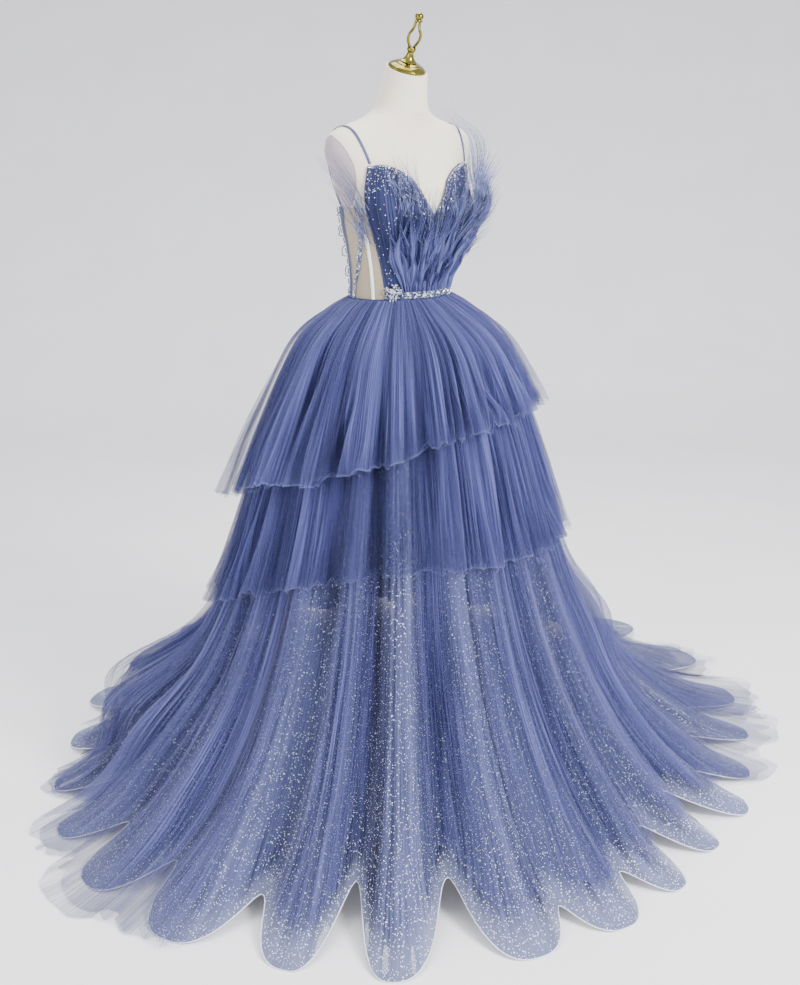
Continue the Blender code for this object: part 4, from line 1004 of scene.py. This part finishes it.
# %% Horsehair braid
def braid_finish():
    # Nylon horsehair braid: clear filaments 0.3 mm thick in a diamond weave, drawn here every 5 mm.
    made, tree, shader = start_finish("nylon horsehair braid", 0.45, Sheen_Weight=0.2)
    flat = on_cloth(tree)
    weave = 0.0
    for turn in (40, -40):
        turned = add(
            tree, "ShaderNodeMapping", inputs={0: flat, "Rotation": (0, 0, math.radians(turn))}
        ).outputs[0]
        lines = add(
            tree, "ShaderNodeTexWave", inputs={"Vector": turned, "Scale": 62.0, "Distortion": 0.4}
        ).outputs[1]
        weave = maths(tree, "MAXIMUM", weave, lines)
    solid = rescale(tree, weave, (0.10, 0.34), (0.3, 1.0))
    colour = ramped(tree, weave, (0.3, "#b9c1da"), (1.0, "#e8ecf7"))
    wire(tree, shader, Base_Color=colour, Alpha=solid)
    return made


braid_net = braid_finish()
BRAID_DEEP, BRAID_IN = 0.075, -0.005


def hem_inside(count, up):
    """A point just inside the underskirt's hem, a share of the braid's depth up from its edge."""
    z = base_hem(count) + 0.0005
    here = skirt_point(count, z, BRAID_IN)
    above = skirt_point(count, z + 0.012, BRAID_IN)
    along = (above - here).normalized()
    return here + along * BRAID_DEEP * up


def make_braid():
    def place(u, v):
        count = (u * FOLD_COUNT) % FOLD_COUNT
        point = hem_inside(count, v)
        point.z = max(point.z, 0.001)
        return point, 1 - trough(count, 1)

    piece = cloth("horsehair_braid", 720, 5, place, (6.9, BRAID_DEEP), braid_net, closed=True)
    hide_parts("hem_braid")
    path = []
    for k in range(721):
        count = (k / 720 * FOLD_COUNT) % FOLD_COUNT
        path.append(skirt_point(count, base_hem(count), 0.0006))
    edge = tubes("hem_edge", [path], 0.0011, 6, edge_finish)


def cord_finish(name, low, high, spacing):
    """Twisted or stitched thread: the strands show as slanting lines, spacing apart."""
    made, tree, shader = start_finish(name, 0.55, Sheen_Weight=0.03)
    place = in_space(tree)
    twist = add(tree, "ShaderNodeTexWave", inputs={"Vector": place, "Scale": 1 / spacing / 3.2}).outputs[1]
    tint = ramped(tree, twist, (0.2, low), (0.8, high))
    emboss(tree, shader, twist, 0.3, 0.0004)
    wire(tree, shader, Base_Color=tint)
    return made


edge_finish = cord_finish("white rayon overlock thread", "#c9cfe4", "#eef1fa", 0.003)
make_braid()

# %% [markdown]
# ## The bodice
#
# The cups are foam, covered in net that is laid in fine upright pleats and then sewn with small sequins. The
# side and back panels are a sheer nude net, held up by one flat bone each and bound in satin where the back
# laces. Each panel is one grid between its two edges, and the pleats are real folds in the grid.

# %% Bodice tables
PANEL_EDGES = (
    # height, front edge, beaded seam, back edge, bone
    (1.123, 47.0, 95.0, 108.0, 60.0), (1.145, 48.5, 92.0, 108.5, 60.5), (1.200, 53.0, 80.0, 107.5, 62.0),
    (1.265, 58.0, 71.0, 104.0, 63.5), (1.320, 61.0, 66.5, 99.0, 66.0), (1.345, 60.0, 67.0, 98.0, 67.0),
    (1.405, 49.0, 60.0, 98.0, 68.0),
)
MESH_TOP, BODICE_LOW = 1.318, 1.1229
NECKLINE = ((0.0, 1.300), (0.10, 1.326), (0.28, 1.374), (0.50, 1.396), (0.75, 1.406), (1.0, 1.403))
BODICE_CLEAR, BODICE_WALL, CUP_CLEAR = 0.0024, 0.0015, 0.0050
SIDES = (("right", -1), ("left", 1))


def cup(angle, z):
    return CUP_CLEAR * bust(angle, z) / BUST_OUT


def arc(angle, z, length):
    """The angle that a length takes up along the body's section at a place."""
    side, front, back, _ = section(z)
    turn = math.radians(angle)
    depth = front if math.cos(turn) > 0 else back
    return math.degrees(length / math.hypot(side * math.cos(turn), depth * math.sin(turn)))


def panel_edge(column, shift=0.0):
    def at(z):
        angle = read(PANEL_EDGES, z, column)
        return angle + math.copysign(arc(angle, z, abs(shift)), shift)
    return at


def panel_place(side, low_edge, high_edge, top, off):
    """The place function of a bodice panel between two edges."""
    def place(u, v):
        share = u if side > 0 else 1 - u
        z = BODICE_LOW + (top(share) - BODICE_LOW) * v
        angle = mix(low_edge(z), high_edge(z), share)
        rise, fold_shade = off(share, v, angle, z)
        return body_point(side * angle, z, rise), fold_shade
    return place


# %% Bodice finishes
def mesh_finish():
    # Stretch mesh in a skin shade: threads 0.1 mm thick and 0.6 mm apart, drawn 2 mm apart, mostly clear.
    made, tree, shader = start_finish("nude stretch mesh, knitted", 0.6, Sheen_Weight=0.2)
    flat = on_cloth(tree)
    cells = add(
        tree, "ShaderNodeTexVoronoi", {"voronoi_dimensions": "2D"}, {"Vector": flat, "Scale": 480.0}
    ).outputs[0]
    solid = rescale(tree, cells, (0.50, 0.80), (0.1, 0.6))
    colour = ramped(tree, cells, (0.1, "#8d7f68"), (0.7, "#ada089"))
    wire(tree, shader, Base_Color=colour, Alpha=solid)
    return made


def satin_finish(name, low, high):
    # Polyester satin: long floats 0.3 mm wide across the ribbon give a soft streaky gloss.
    made, tree, shader = start_finish(name, 0.42, Sheen_Weight=0.03, Anisotropic=0.4)
    place = in_space(tree)
    floats = add(tree, "ShaderNodeMapping", inputs={0: place, "Scale": (1600.0, 1600.0, 200.0)}).outputs[0]
    floats = noise(tree, floats, 1.0)
    tint = ramped(tree, floats, (0.3, low), (0.7, high))
    emboss(tree, shader, floats, 0.15, 0.0003)
    wire(tree, shader, Base_Color=tint)
    return made


# Pleated tulle over foam is nearly solid, with a painted highlight on its ridges, painted shade between them,
# and a few small foil flakes.
pleated = net_finish("blue tulle, pleated over foam", "#111638", "#3c4270", 0.98, 1.0, 0.13)
nude_mesh = mesh_finish()
satin = satin_finish("blue polyester satin", "#232c52", "#434e7c")
boning = satin_finish("white boning in a satin casing", "#dad8d4", "#f0efec")


# %% Cups and panels
def make_panels():
    outer = BODICE_CLEAR + BODICE_WALL

    def mesh(share, v, angle, z):
        return BODICE_CLEAR + 0.0006 + cup(angle, z), 0.5

    for name, side in SIDES:
        ridges = crimps(71 + side, 60)

        def cups(share, v, angle, z, ridges=ridges):
            fine = ridges(share * 0.5, v)
            edge = math.sin(math.pi * min(max(share, 0.02), 0.98)) ** 0.5
            # The second value is the fold shade: painted highlight on the pleats' ridges, painted shade
            # between them.
            return outer + cup(angle, z) + (0.0012 + 0.0011 * fine) * edge, 0.5 + 0.5 * fine

        front = cloth(
            f"pleated_cup_{name}", 150, 40,
            panel_place(side, lambda z: arc(0, z, 0.0003) * 0.6, panel_edge(1), lambda u: read(NECKLINE, u),
             cups),
            (0.26, 0.28), pleated,
        )
        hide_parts(f"bodice_front_{name}")
        for part, low, high in (
            ("side", panel_edge(1, 0.0006), panel_edge(2, -0.0002)),
            ("back", panel_edge(2, 0.0002), panel_edge(3)),
        ):
            net = cloth(
                f"sheer_{part}_{name}", 16, 30,
                panel_place(side, low, high, lambda u: MESH_TOP, mesh), (0.10, 0.20), nude_mesh,
            )
            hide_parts(f"{part}_mesh_{name}")


make_panels()


def strip(
    name, side, column, low_shift, high_shift, top, low_off, high_off, columns, rows, material, node
):
    """A narrow strip with a rounded face that lies along a panel's edge."""
    def crown(share, v, angle, z):
        return low_off + cup(angle, z) + (high_off - low_off) * math.sin(math.pi * share) ** 0.6, 0.5

    piece = cloth(
        name, columns, rows,
        panel_place(side, panel_edge(column, low_shift), panel_edge(column, high_shift), lambda u: top,
         crown),
        (abs(high_shift) + abs(low_shift), top - BODICE_LOW), material,
    )
    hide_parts(node)
    return piece


for name, side in SIDES:
    piece = strip(
        f"satin_binding_{name}", side, 3, -0.0110, 0.0125, MESH_TOP, 0.0036, 0.0054, 10, 40, satin,
        f"back_binding_{name}",
    )
    strip(
        f"boning_{name}", side, 4, 0.0, 0.0075, 1.2625, 0.0036, 0.0056, 8, 30, boning, f"bone_{name}",
    )

# %% [markdown]
# ## Straps, waist piping and lacing
#
# The straps are narrow tubes of satin that are turned right side out and pressed, so they are strips with a
# rounded face. They follow the form over the shoulder. The back is laced with a round satin cord that
# zigzags between small loops on the two bindings, and a piping covers the seam at the waist.

# %% Straps
STRAP_TOP_X = {-1: 0.148, 1: 0.134}
STRAP_WIDTH, STRAP_CLEAR = 0.0056, 0.0016
STRAP_FRONT_Z = 1.4075


def off_form(point):
    """The direction out of the form's surface near a point."""
    def inside(p):
        wide, ahead, behind, shift = section(p.z)
        y = p.y + shift
        return (p.x / wide) ** 2 + (y / (ahead if y < 0 else behind)) ** 2

    step = 0.002
    return Vector(
        tuple(inside(point + axis * step) - inside(point - axis * step) for axis in Matrix.Identity(3))
    ).normalized()


def even_steps(points, count):
    """count points at even distances along a path."""
    lengths = [0.0]
    for a, b in zip(points, points[1:]):
        lengths.append(lengths[-1] + (b - a).length)
    found = []
    for k in range(count):
        want = lengths[-1] * k / (count - 1)
        i = next((n for n in range(len(lengths) - 1) if lengths[n + 1] >= want), len(lengths) - 2)
        share = (want - lengths[i]) / max(lengths[i + 1] - lengths[i], 1e-9)
        found.append(points[i].lerp(points[i + 1], min(share, 1.0)))
    return found


def strap_path(side):
    """From the top of the cup over the shoulder to the head of the back binding, on the form's surface."""
    back_z = MESH_TOP + 0.0035
    top_x = STRAP_TOP_X[side]
    top_z = next(z / 1e4 for z in range(14700, 15000) if section(z / 1e4)[0] <= top_x)
    start = abs(body_point(read(PANEL_EDGES, STRAP_FRONT_Z, 1) - 3.0, STRAP_FRONT_Z).x)
    finish_x = abs(body_point(read(PANEL_EDGES, back_z, 3) + 2.0, back_z).x)
    dense = []
    for first_z, first_x, front in ((STRAP_FRONT_Z, start, True), (back_z, finish_x, False)):
        half = []
        for k in range(61):
            rise = smooth(k / 60) if front else math.sin(math.pi / 2 * k / 60)
            z = mix(first_z, top_z, rise)
            x = mix(first_x, top_x, rise)
            wide, ahead, behind, shift = section(z)
            level = math.sqrt(max(0.0, 1 - (x / wide) ** 2))
            half.append(Vector((side * x, (-ahead if front else behind) * level - shift, z)))
        dense += half if front else half[::-1][1:]
    return even_steps(dense, 81)


def make_straps():
    for name, side in SIDES:
        line = strap_path(side)
        outward = [off_form(p) for p in line]

        def place(u, v, line=line, outward=outward):
            k = round(v * (len(line) - 1))
            along = (line[min(k + 1, len(line) - 1)] - line[max(k - 1, 0)]).normalized()
            across = along.cross(outward[k]).normalized()
            crown = STRAP_CLEAR + 0.0014 * math.sin(math.pi * u) ** 0.5
            return line[k] + across * STRAP_WIDTH * (u - 0.5) + outward[k] * crown, 0.5

        piece = cloth(f"satin_strap_{name}", 8, 80, place, (0.012, 0.44), satin)
        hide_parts(f"strap_{name}")


make_straps()

# %% Lacing and piping
LACE_CROSSINGS, LACE_OVER, LACE_BRIDGE, LACE_RADIUS = 4, 0.0032, 0.009, 0.0011
LACE_INSET = 2.2            # degrees from the edge of the open back to a turn of the cord
LOOPS, LOOP_OUT, LOOP_TALL = 9, 0.0032, 0.0055
lace_cord = cord_finish("blue satin cord, twisted", "#232c52", "#434e7c", 0.002)


def lace_point(side, k, steps, top, low, rest):
    """A point of one cord, which crosses over the open back and passes over the other by turns."""
    z = mix(top, low, k / steps)
    reach = 180 - read(PANEL_EDGES, z, 3) - LACE_INSET
    turn = math.pi * LACE_CROSSINGS * k / steps
    over = LACE_OVER * max(0.0, side * math.sin(turn))
    hollow = LACE_BRIDGE * math.sin(math.pi * k / steps)
    return body_point(into_range(180 + side * reach * math.cos(turn)), z, rest + hollow + over)


def make_lacing():
    rest = BODICE_CLEAR + BODICE_WALL + 0.0010 + LACE_RADIUS
    top, low, steps = MESH_TOP - 0.012, BODICE_LOW + 0.008, 96
    for name, side in SIDES:
        paths = [[lace_point(side, k, steps, top, low, rest) for k in range(steps + 1)]]
        for k in range(LOOPS):
            z = mix(MESH_TOP - 0.008, BODICE_LOW + 0.010, k / (LOOPS - 1))
            edge = read(PANEL_EDGES, z, 3)
            loop = []
            for n in range(9):
                turn = math.pi * n / 8
                angle = edge + arc(edge, z, 0.0115 + LOOP_OUT * math.sin(turn))
                loop.append(body_point(side * angle, z + LOOP_TALL * math.cos(turn), rest + 0.0012))
            paths.append(loop)
        piece = tubes(f"lace_cord_{name}", paths, LACE_RADIUS, 8, lace_cord)
        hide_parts(f"lacing_{name}")
    ring = [body_point(into_range(3.0 * k), 1.1232, 0.0048) for k in range(121)]
    piping = tubes("waist_piping", [ring], 0.0011, 8, lace_cord)


make_lacing()

# %% [markdown]
# ## Stones, beads and sequins
#
# The belt and the beaded seams carry glass stones in silver settings, seed beads and sequins. Each is tiny
# and there are hundreds, so each has only a few faces: a stone is a cut cone on a short metal cup, a bead
# is a low sphere, a sequin is a thin disc. They are added to one mesh per kind, turned to face out of the
# cloth.

# %% Stone and bead finishes
def stone_finish(name, low, high):
    # Lead-free crystal with foil behind: bright facets with a cool tint that varies from stone to stone.
    made, tree, shader = start_finish(name, 0.12, Metallic=0.55, Coat_Weight=0.4, Specular_IOR_Level=0.6)
    place = in_space(tree)
    tint = add(tree, "ShaderNodeTexVoronoi", inputs={"Vector": place, "Scale": 260.0}).outputs["Color"]
    tint = add(tree, "ShaderNodeSeparateColor", inputs={0: tint}).outputs[0]
    tint = ramped(tree, tint, (0.2, low), (0.8, high))
    wire(tree, shader, Base_Color=tint)
    return made


crystal = stone_finish("foiled crystal glass, cut", "#3c4868", "#eef3ff")
silver = stone_finish("silver-lined seed beads", "#4a5580", "#f0f4fc")
pearl = stone_finish("pearl paint on glass", "#e9d3cf", "#f6ece8")


def facing(angle, z, off, spin=0.0):
    """A frame whose Z axis points out of the body at a place, to set a stone in."""
    point = body_point(angle, z, off)
    out = off_form(body_point(angle, z))
    turn = out.to_track_quat("Z", "Y").to_matrix().to_4x4()
    return Matrix.Translation(point) @ turn @ Matrix.Rotation(spin, 4, "Z")


def set_stone(bm, frame_at, radius, height, stretch=1.0):
    """A cut stone: a cup, a girdle and a flat table on top."""
    long = Matrix.Diagonal((1.0, stretch, 1.0, 1.0))
    lift = Matrix.Translation((0, 0, height * 0.3))
    bmesh.ops.create_cone(
        bm, cap_ends=True, segments=8, radius1=radius * 0.9, radius2=radius, depth=height * 0.6,
        matrix=frame_at @ lift @ long,
    )
    lift = Matrix.Translation((0, 0, height * 0.85))
    bmesh.ops.create_cone(
        bm, cap_ends=True, segments=8, radius1=radius, radius2=radius * 0.55, depth=height * 0.5,
        matrix=frame_at @ lift @ long,
    )


# %% Belt of stones
BELT_LOW, BELT_HEIGHT = 1.1231, 0.018
BELT_OFF = 0.0067
BELT_FROM, BELT_TO = -48.0, 46.0
MOTIF_ANGLE, MOTIF_Z = -39.0, 1.1425


def make_belt():
    chance = random.Random(5)

    def band(u, v):
        angle = mix(BELT_FROM, BELT_TO, u)
        return body_point(angle, BELT_LOW + 0.001 + (BELT_HEIGHT - 0.002) * v, BELT_OFF), 0.5

    ribbon = cloth("belt_ribbon", 60, 4, band, (0.20, 0.016), satin)
    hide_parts("belt_band")
    bm = bmesh.new()
    columns = 44
    for k in range(columns):
        angle = mix(BELT_FROM + 1, BELT_TO - 1, k / (columns - 1))
        for row in range(3):
            if chance.random() < 0.16:
                continue
            z = BELT_LOW + 0.0035 + 0.0055 * row + chance.uniform(-0.0010, 0.0010)
            size = chance.choice((0.0016, 0.0020, 0.0025))
            stretch = 1.6 if chance.random() < 0.3 else 1.0
            place = facing(angle + chance.uniform(-0.5, 0.5), z, BELT_OFF + 0.0003, chance.uniform(0, 3.1))
            set_stone(bm, place, size, 0.0022, stretch)
    for k in range(9):
        # A raised leaf of stones every few centimetres breaks the belt's even line.
        angle = mix(BELT_FROM + 16, BELT_TO - 3, k / 8)
        for leaf in (-1, 0, 1):
            z = BELT_LOW + 0.009 + 0.003 * chance.uniform(-1, 1)
            place = facing(angle + 1.3 * leaf, z, BELT_OFF + 0.0022, leaf * 0.8 + 0.4)
            set_stone(bm, place, 0.0021, 0.0024, 2.0)
    stones = finish_piece("belt_stones", bm, crystal, False)
    print("belt_stones", len(stones.data.polygons), "faces")


def make_motif():
    chance = random.Random(9)
    bm = bmesh.new()
    centre = facing(MOTIF_ANGLE, MOTIF_Z, BELT_OFF + 0.0028)
    flowers = (
        # across, up, petal length, petals
        (0.000, 0.001, 0.0085, 6), (-0.0135, 0.004, 0.0060, 5), (0.0125, -0.003, 0.0062, 5),
        (0.0045, 0.0115, 0.0055, 5),
        (-0.005, -0.0125, 0.0058, 5),
    )
    for across, up, length, petals in flowers:
        seat = centre @ Matrix.Translation((across, up, 0))
        for k in range(petals):
            turn = Matrix.Rotation(2 * math.pi * k / petals + chance.uniform(-0.1, 0.1), 4, "Z")
            lean = Matrix.Rotation(math.radians(-12), 4, "X")
            petal = seat @ turn @ Matrix.Translation((0, length * 0.62, 0.0008)) @ lean
            set_stone(bm, petal, length * 0.24, 0.0022, 2.0)
    for k in range(34):
        turn, far = chance.uniform(0, 6.28), 0.019 * chance.random() ** 0.6
        seat = centre @ Matrix.Translation((far * math.cos(turn), 0.8 * far * math.sin(turn), -0.0006))
        set_stone(bm, seat, chance.choice((0.0013, 0.0018)), 0.0020)
    for k, drop in enumerate((0.012, 0.017, 0.010)):
        # Three short drops hang below the cluster, each a chain of stones with a pointed one at its end.
        for n in range(3):
            down = 0.008 + drop * (n + 1) / 3
            seat = centre @ Matrix.Translation(((k - 1) * 0.006, -down, 0.0012))
            set_stone(bm, seat, 0.0016 + 0.0005 * (n == 2), 0.0020, 1.8 if n == 2 else 1.0)
    cluster = finish_piece("belt_cluster", bm, crystal, False)
    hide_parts("belt_motif")
    bm = bmesh.new()
    for across, up, length, _ in flowers:
        seat = centre @ Matrix.Translation((across, up, 0.0030))
        bmesh.ops.create_icosphere(
            bm, subdivisions=2, radius=0.0019 if length > 0.008 else 0.0014, matrix=seat
        )
    pearls = finish_piece("belt_pearls", bm, pearl)
    print("belt_cluster", len(cluster.data.polygons), "faces")


make_belt()
make_motif()

# %% Beaded seams and sequins
BEAD_ROWS, SEQUINS = 74, 420


def make_beads():
    chance = random.Random(13)
    for name, side in SIDES:
        bm = bmesh.new()
        for k in range(BEAD_ROWS):
            z = mix(BODICE_LOW + 0.001, MESH_TOP - 0.001, k / (BEAD_ROWS - 1))
            middle = read(PANEL_EDGES, z, 2)
            for column in (-1.5, -0.5, 0.5, 1.5):
                shift = column * 0.0024 + chance.uniform(-0.0006, 0.0006)
                angle = middle + math.copysign(arc(middle, z, abs(shift)), shift)
                off = 0.0060 + cup(angle, z) - 0.0006 * abs(column)
                place = facing(side * angle, z + chance.uniform(-0.0008, 0.0008), off, chance.uniform(0, 3))
                radius = chance.choice((0.0011, 0.0013, 0.0016))
                bmesh.ops.create_icosphere(bm, subdivisions=1, radius=radius, matrix=place)
        beads = finish_piece(f"seam_beads_{name}", bm, silver, False)
        piece = strip(
            f"seam_cover_{name}", side, 2, -0.0042, 0.0042, MESH_TOP, 0.0042, 0.0056, 8, 40, satin,
            f"bead_seam_{name}",
        )
        print(beads.name, len(beads.data.polygons), "faces")


def make_sequins():
    chance = random.Random(17)
    for name, side in SIDES:
        bm = bmesh.new()
        for k in range(SEQUINS):
            share = chance.uniform(0.03, 0.98)
            top = read(NECKLINE, share)
            z = top - 0.002 - 0.055 * chance.random() ** 2.6
            angle = mix(0.2, read(PANEL_EDGES, z, 1), share)
            off = BODICE_CLEAR + BODICE_WALL + cup(angle, z) + 0.0027
            lean = Matrix.Rotation(chance.uniform(-0.5, 0.5), 4, "X") @ Matrix.Rotation(
                chance.uniform(-0.5, 0.5), 4, "Y"
            )
            place = facing(side * angle, z, off) @ lean
            if k % 4 == 0:
                bmesh.ops.create_icosphere(bm, subdivisions=1, radius=0.0008, matrix=place)
            else:
                bmesh.ops.create_cone(
                    bm, cap_ends=True, segments=6, radius1=0.0012, radius2=0.0009, depth=0.0004, matrix=place
                )
        sequins = finish_piece(f"cup_sequins_{name}", bm, silver, False)
        print(sequins.name, len(sequins.data.polygons), "faces")


make_beads()
make_sequins()

# %% [markdown]
# ## Ruffled petals and feather wisps
#
# Petals of net stand up from the belt in front of the cups. Each is a leaf of tulle, gathered at its foot
# and left raw at its tip, so it is a small grid with lengthwise waves that opens and leans out as it rises.
# Wisps of stripped feather and shredded net stand out between and above them: thin tapered barbs, by the
# hundred, which is cheap because each has only three sides.

# %% Petals
petal_net = net_finish("blue tulle, ruffled and raw-edged", "#131840", "#5c6299", 0.66, 0.96)
PETALS = (
    # foot angle, head angle, head height, stand-off at the head, width, twist in degrees
    (-27, -41, 1.262, 0.009, 0.040, 12), (-24, -34, 1.288, 0.013, 0.044, -16),
    (-21, -27, 1.318, 0.016, 0.042, 24),
    (-17, -19, 1.300, 0.020, 0.038, -28), (-13, -14, 1.322, 0.026, 0.040, 34),
    (-9, -9, 1.286, 0.030, 0.036, -30),
    (-6, -6, 1.310, 0.034, 0.038, 22), (-2, -3, 1.270, 0.030, 0.034, -36), (1, 2, 1.300, 0.036, 0.038, 30),
    (4, 6, 1.322, 0.034, 0.036, -24), (8, 11, 1.300, 0.036, 0.040, 36), (11, 16, 1.338, 0.034, 0.044, -30),
    (15, 22, 1.318, 0.040, 0.044, 28), (19, 29, 1.352, 0.038, 0.048, -34), (23, 36, 1.335, 0.044, 0.048, 24),
    (27, 43, 1.362, 0.042, 0.050, -28), (31, 50, 1.342, 0.048, 0.048, 32),
    (34, 56, 1.360, 0.044, 0.046, -22),
    (37, 62, 1.328, 0.048, 0.042, 26), (40, 68, 1.300, 0.042, 0.036, -14),
    (-11, -11, 1.225, 0.026, 0.034, 40),
    (0, -1, 1.215, 0.030, 0.034, -40), (10, 13, 1.230, 0.030, 0.036, 38), (22, 30, 1.245, 0.032, 0.038, -38),
    (-21, -24, 1.235, 0.018, 0.034, 30), (33, 46, 1.250, 0.034, 0.038, 34),
)
PETAL_LOW = BELT_LOW + BELT_HEIGHT - 0.002


def petal_line(row, v):
    """The middle of a petal at a share of its height, and the directions across it and out of it."""
    foot, head, top, stand, width, twist = row
    angle = mix(foot, head, v ** 1.2)
    z = mix(PETAL_LOW, top, v)
    middle = body_point(angle, z, 0.0092 + (stand - 0.004) * v ** 1.4)
    turn = math.radians(angle)
    across = Vector((math.cos(turn), math.sin(turn), 0))
    out = Vector((math.sin(turn), -math.cos(turn), 0))
    lean = math.radians(twist) * smooth(v * 1.6)
    return middle, across * math.cos(lean) + out * math.sin(lean), out * math.cos(lean) - across * math.sin(
        lean
    )


def make_petals():
    chance = random.Random(21)
    groups = (
        ("petals_right", [row for row in PETALS if row[0] <= -1], "fan_right", (0.85, 0.22), 0.13),
        ("petals_left", [row for row in PETALS if row[0] > -1], "fan_left", (1.60, 0.22), 0.27),
    )
    for name, rows, node, cut, cut_area in groups:
        bm = bmesh.new()
        flat = bm.loops.layers.uv.new("cloth")
        fold_shade = bm.verts.layers.float.new("fold_shade")
        cover = bm.verts.layers.float.new("cover")
        # Each petal is laid double: a second ply stands a little lower, closer in and turned aside.
        plies = rows + [
            (foot + 1.6, head + 2.4, top - 0.022, stand - 0.005, width * 0.9, -twist)
            for foot, head, top, stand, width, twist in rows
        ]
        for row in plies:
            waves, phase, ripple = chance.choice(
                (1.0, 1.5, 2.0)
            ), chance.uniform(0, 6.28), chance.uniform(0, 6.28)
            leaf = bmesh.ops.create_grid(bm, x_segments=16, y_segments=22, size=0.5)["verts"]
            for face in {f for vert in leaf for f in vert.link_faces}:
                for loop in face.loops:
                    x, y = loop.vert.co.xy
                    loop[flat].uv = (phase + x * row[4] * 2, 0.02 + (y + 0.5) * (row[2] - PETAL_LOW))
            for vert in leaf:
                u, v = vert.co.x, vert.co.y + 0.5
                middle, across, out = petal_line(row, v)
                opening = mix(0.20, 1.0, smooth(v * 1.7)) * (1 - 0.93 * smooth((v - 0.50) / 0.50))
                wave = math.cos(2 * math.pi * waves * u + phase)
                ruffle = math.sin(9 * v + ripple + 3 * u) * 0.0035 * abs(2 * u) * smooth(v * 2)
                rise = 0.0062 * wave * (0.35 + 0.65 * v) + ruffle
                ragged = 0.007 * math.sin(23 * u + phase) * smooth((v - 0.6) / 0.4)
                vert.co = middle + across * (
                    2 * u * opening * row[4] / 2
                ) + out * rise + Vector((0, 0, ragged))
                # The fold shade: painted highlight on the waves' crests and painted shade in their hollows.
                vert[fold_shade] = 0.5 + 0.5 * wave
                vert[cover] = 1 - 0.55 * smooth((v - 0.55) / 0.45)
        bm.normal_update()
        petals = finish_piece(name, bm, petal_net)
        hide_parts(node)
        area = sum(p.area for p in petals.data.polygons)
        print(name, len(petals.data.polygons), "faces", round(area, 4), "m2 of cloth")


make_petals()

# %% Wisps
def wisp_finish():
    # Stripped feather and shredded net: hair-fine barbs, pale, and clear enough to blur at their ends.
    made, tree, shader = start_finish("stripped feather and shredded net", 0.6, Sheen_Weight=0.4)
    place = in_space(tree)
    cloud = noise(tree, place, 35.0, 2.0)
    tint = ramped(tree, cloud, (0.35, "#2c3770"), (0.65, "#6e7ab8"))
    solid = rescale(tree, cloud, (0.40, 0.85), (0.35, 0.65))
    wire(tree, shader, Base_Color=tint, Alpha=solid)
    return made


wisp = wisp_finish()
WISPS = (
    # name, node it stands for, barbs, thickness, angles, heights and stand-offs of the roots,
    # then how far the tips turn, rise and push out
    ("wisps_far", "spray_left", 210, 0.0007, (14, 60), (1.25, 1.345), (0.020, 0.040), (2, 16),
     (0.035, 0.105), (0.004, 0.040)),
    ("wisps_far_low", "spray_left", 90, 0.0008, (46, 66), (1.20, 1.28), (0.022, 0.038), (2, 12),
     (0.020, 0.060), (0.012, 0.045)),
    ("wisps_far_spikes", "spray_left", 60, 0.0017, (30, 64), (1.24, 1.34), (0.024, 0.040), (4, 15),
     (0.050, 0.115), (0.010, 0.044)),
    ("wisps_tall", "spray_left", 60, 0.0007, (30, 58), (1.33, 1.37), (0.026, 0.040), (-6, 8), (0.080, 0.175),
     (0.000, 0.020)),
    ("wisps_middle", "spray_left", 90, 0.0009, (-14, 16), (1.24, 1.31), (0.020, 0.036), (-6, 6),
     (0.020, 0.070), (-0.004, 0.012)),
    ("wisps_near", "spray_right", 64, 0.0008, (-36, -14), (1.30, 1.370), (0.010, 0.020), (-8, 6),
     (0.030, 0.085), (-0.002, 0.022)),
    ("wisps_side", "spray_right", 56, 0.0008, (-72, -56), (1.22, 1.33), (0.006, 0.014), (-26, -8),
     (0.060, 0.130), (0.012, 0.034)),
)


def make_wisps():
    chance = random.Random(29)
    for name, node, count, thick, roots, heights, stands, turns, rises, pushes in WISPS:
        paths = []
        for _ in range(count):
            angle, z, stand = chance.uniform(*roots), chance.uniform(*heights), chance.uniform(*stands)
            turn, rise, push = chance.uniform(*turns), chance.uniform(*rises), chance.uniform(*pushes)
            bend = chance.uniform(-3.0, 3.0)
            path = []
            for n in range(7):
                v = n / 6
                beside = turn * v ** 1.3 + bend * math.sin(math.pi * v)
                path.append(body_point(angle + beside, z + rise * v, stand + push * v ** 1.5))
            paths.append(path)
        piece = tubes(name, paths, thick, 3, wisp, taper=True)
        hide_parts(node)


make_wisps()
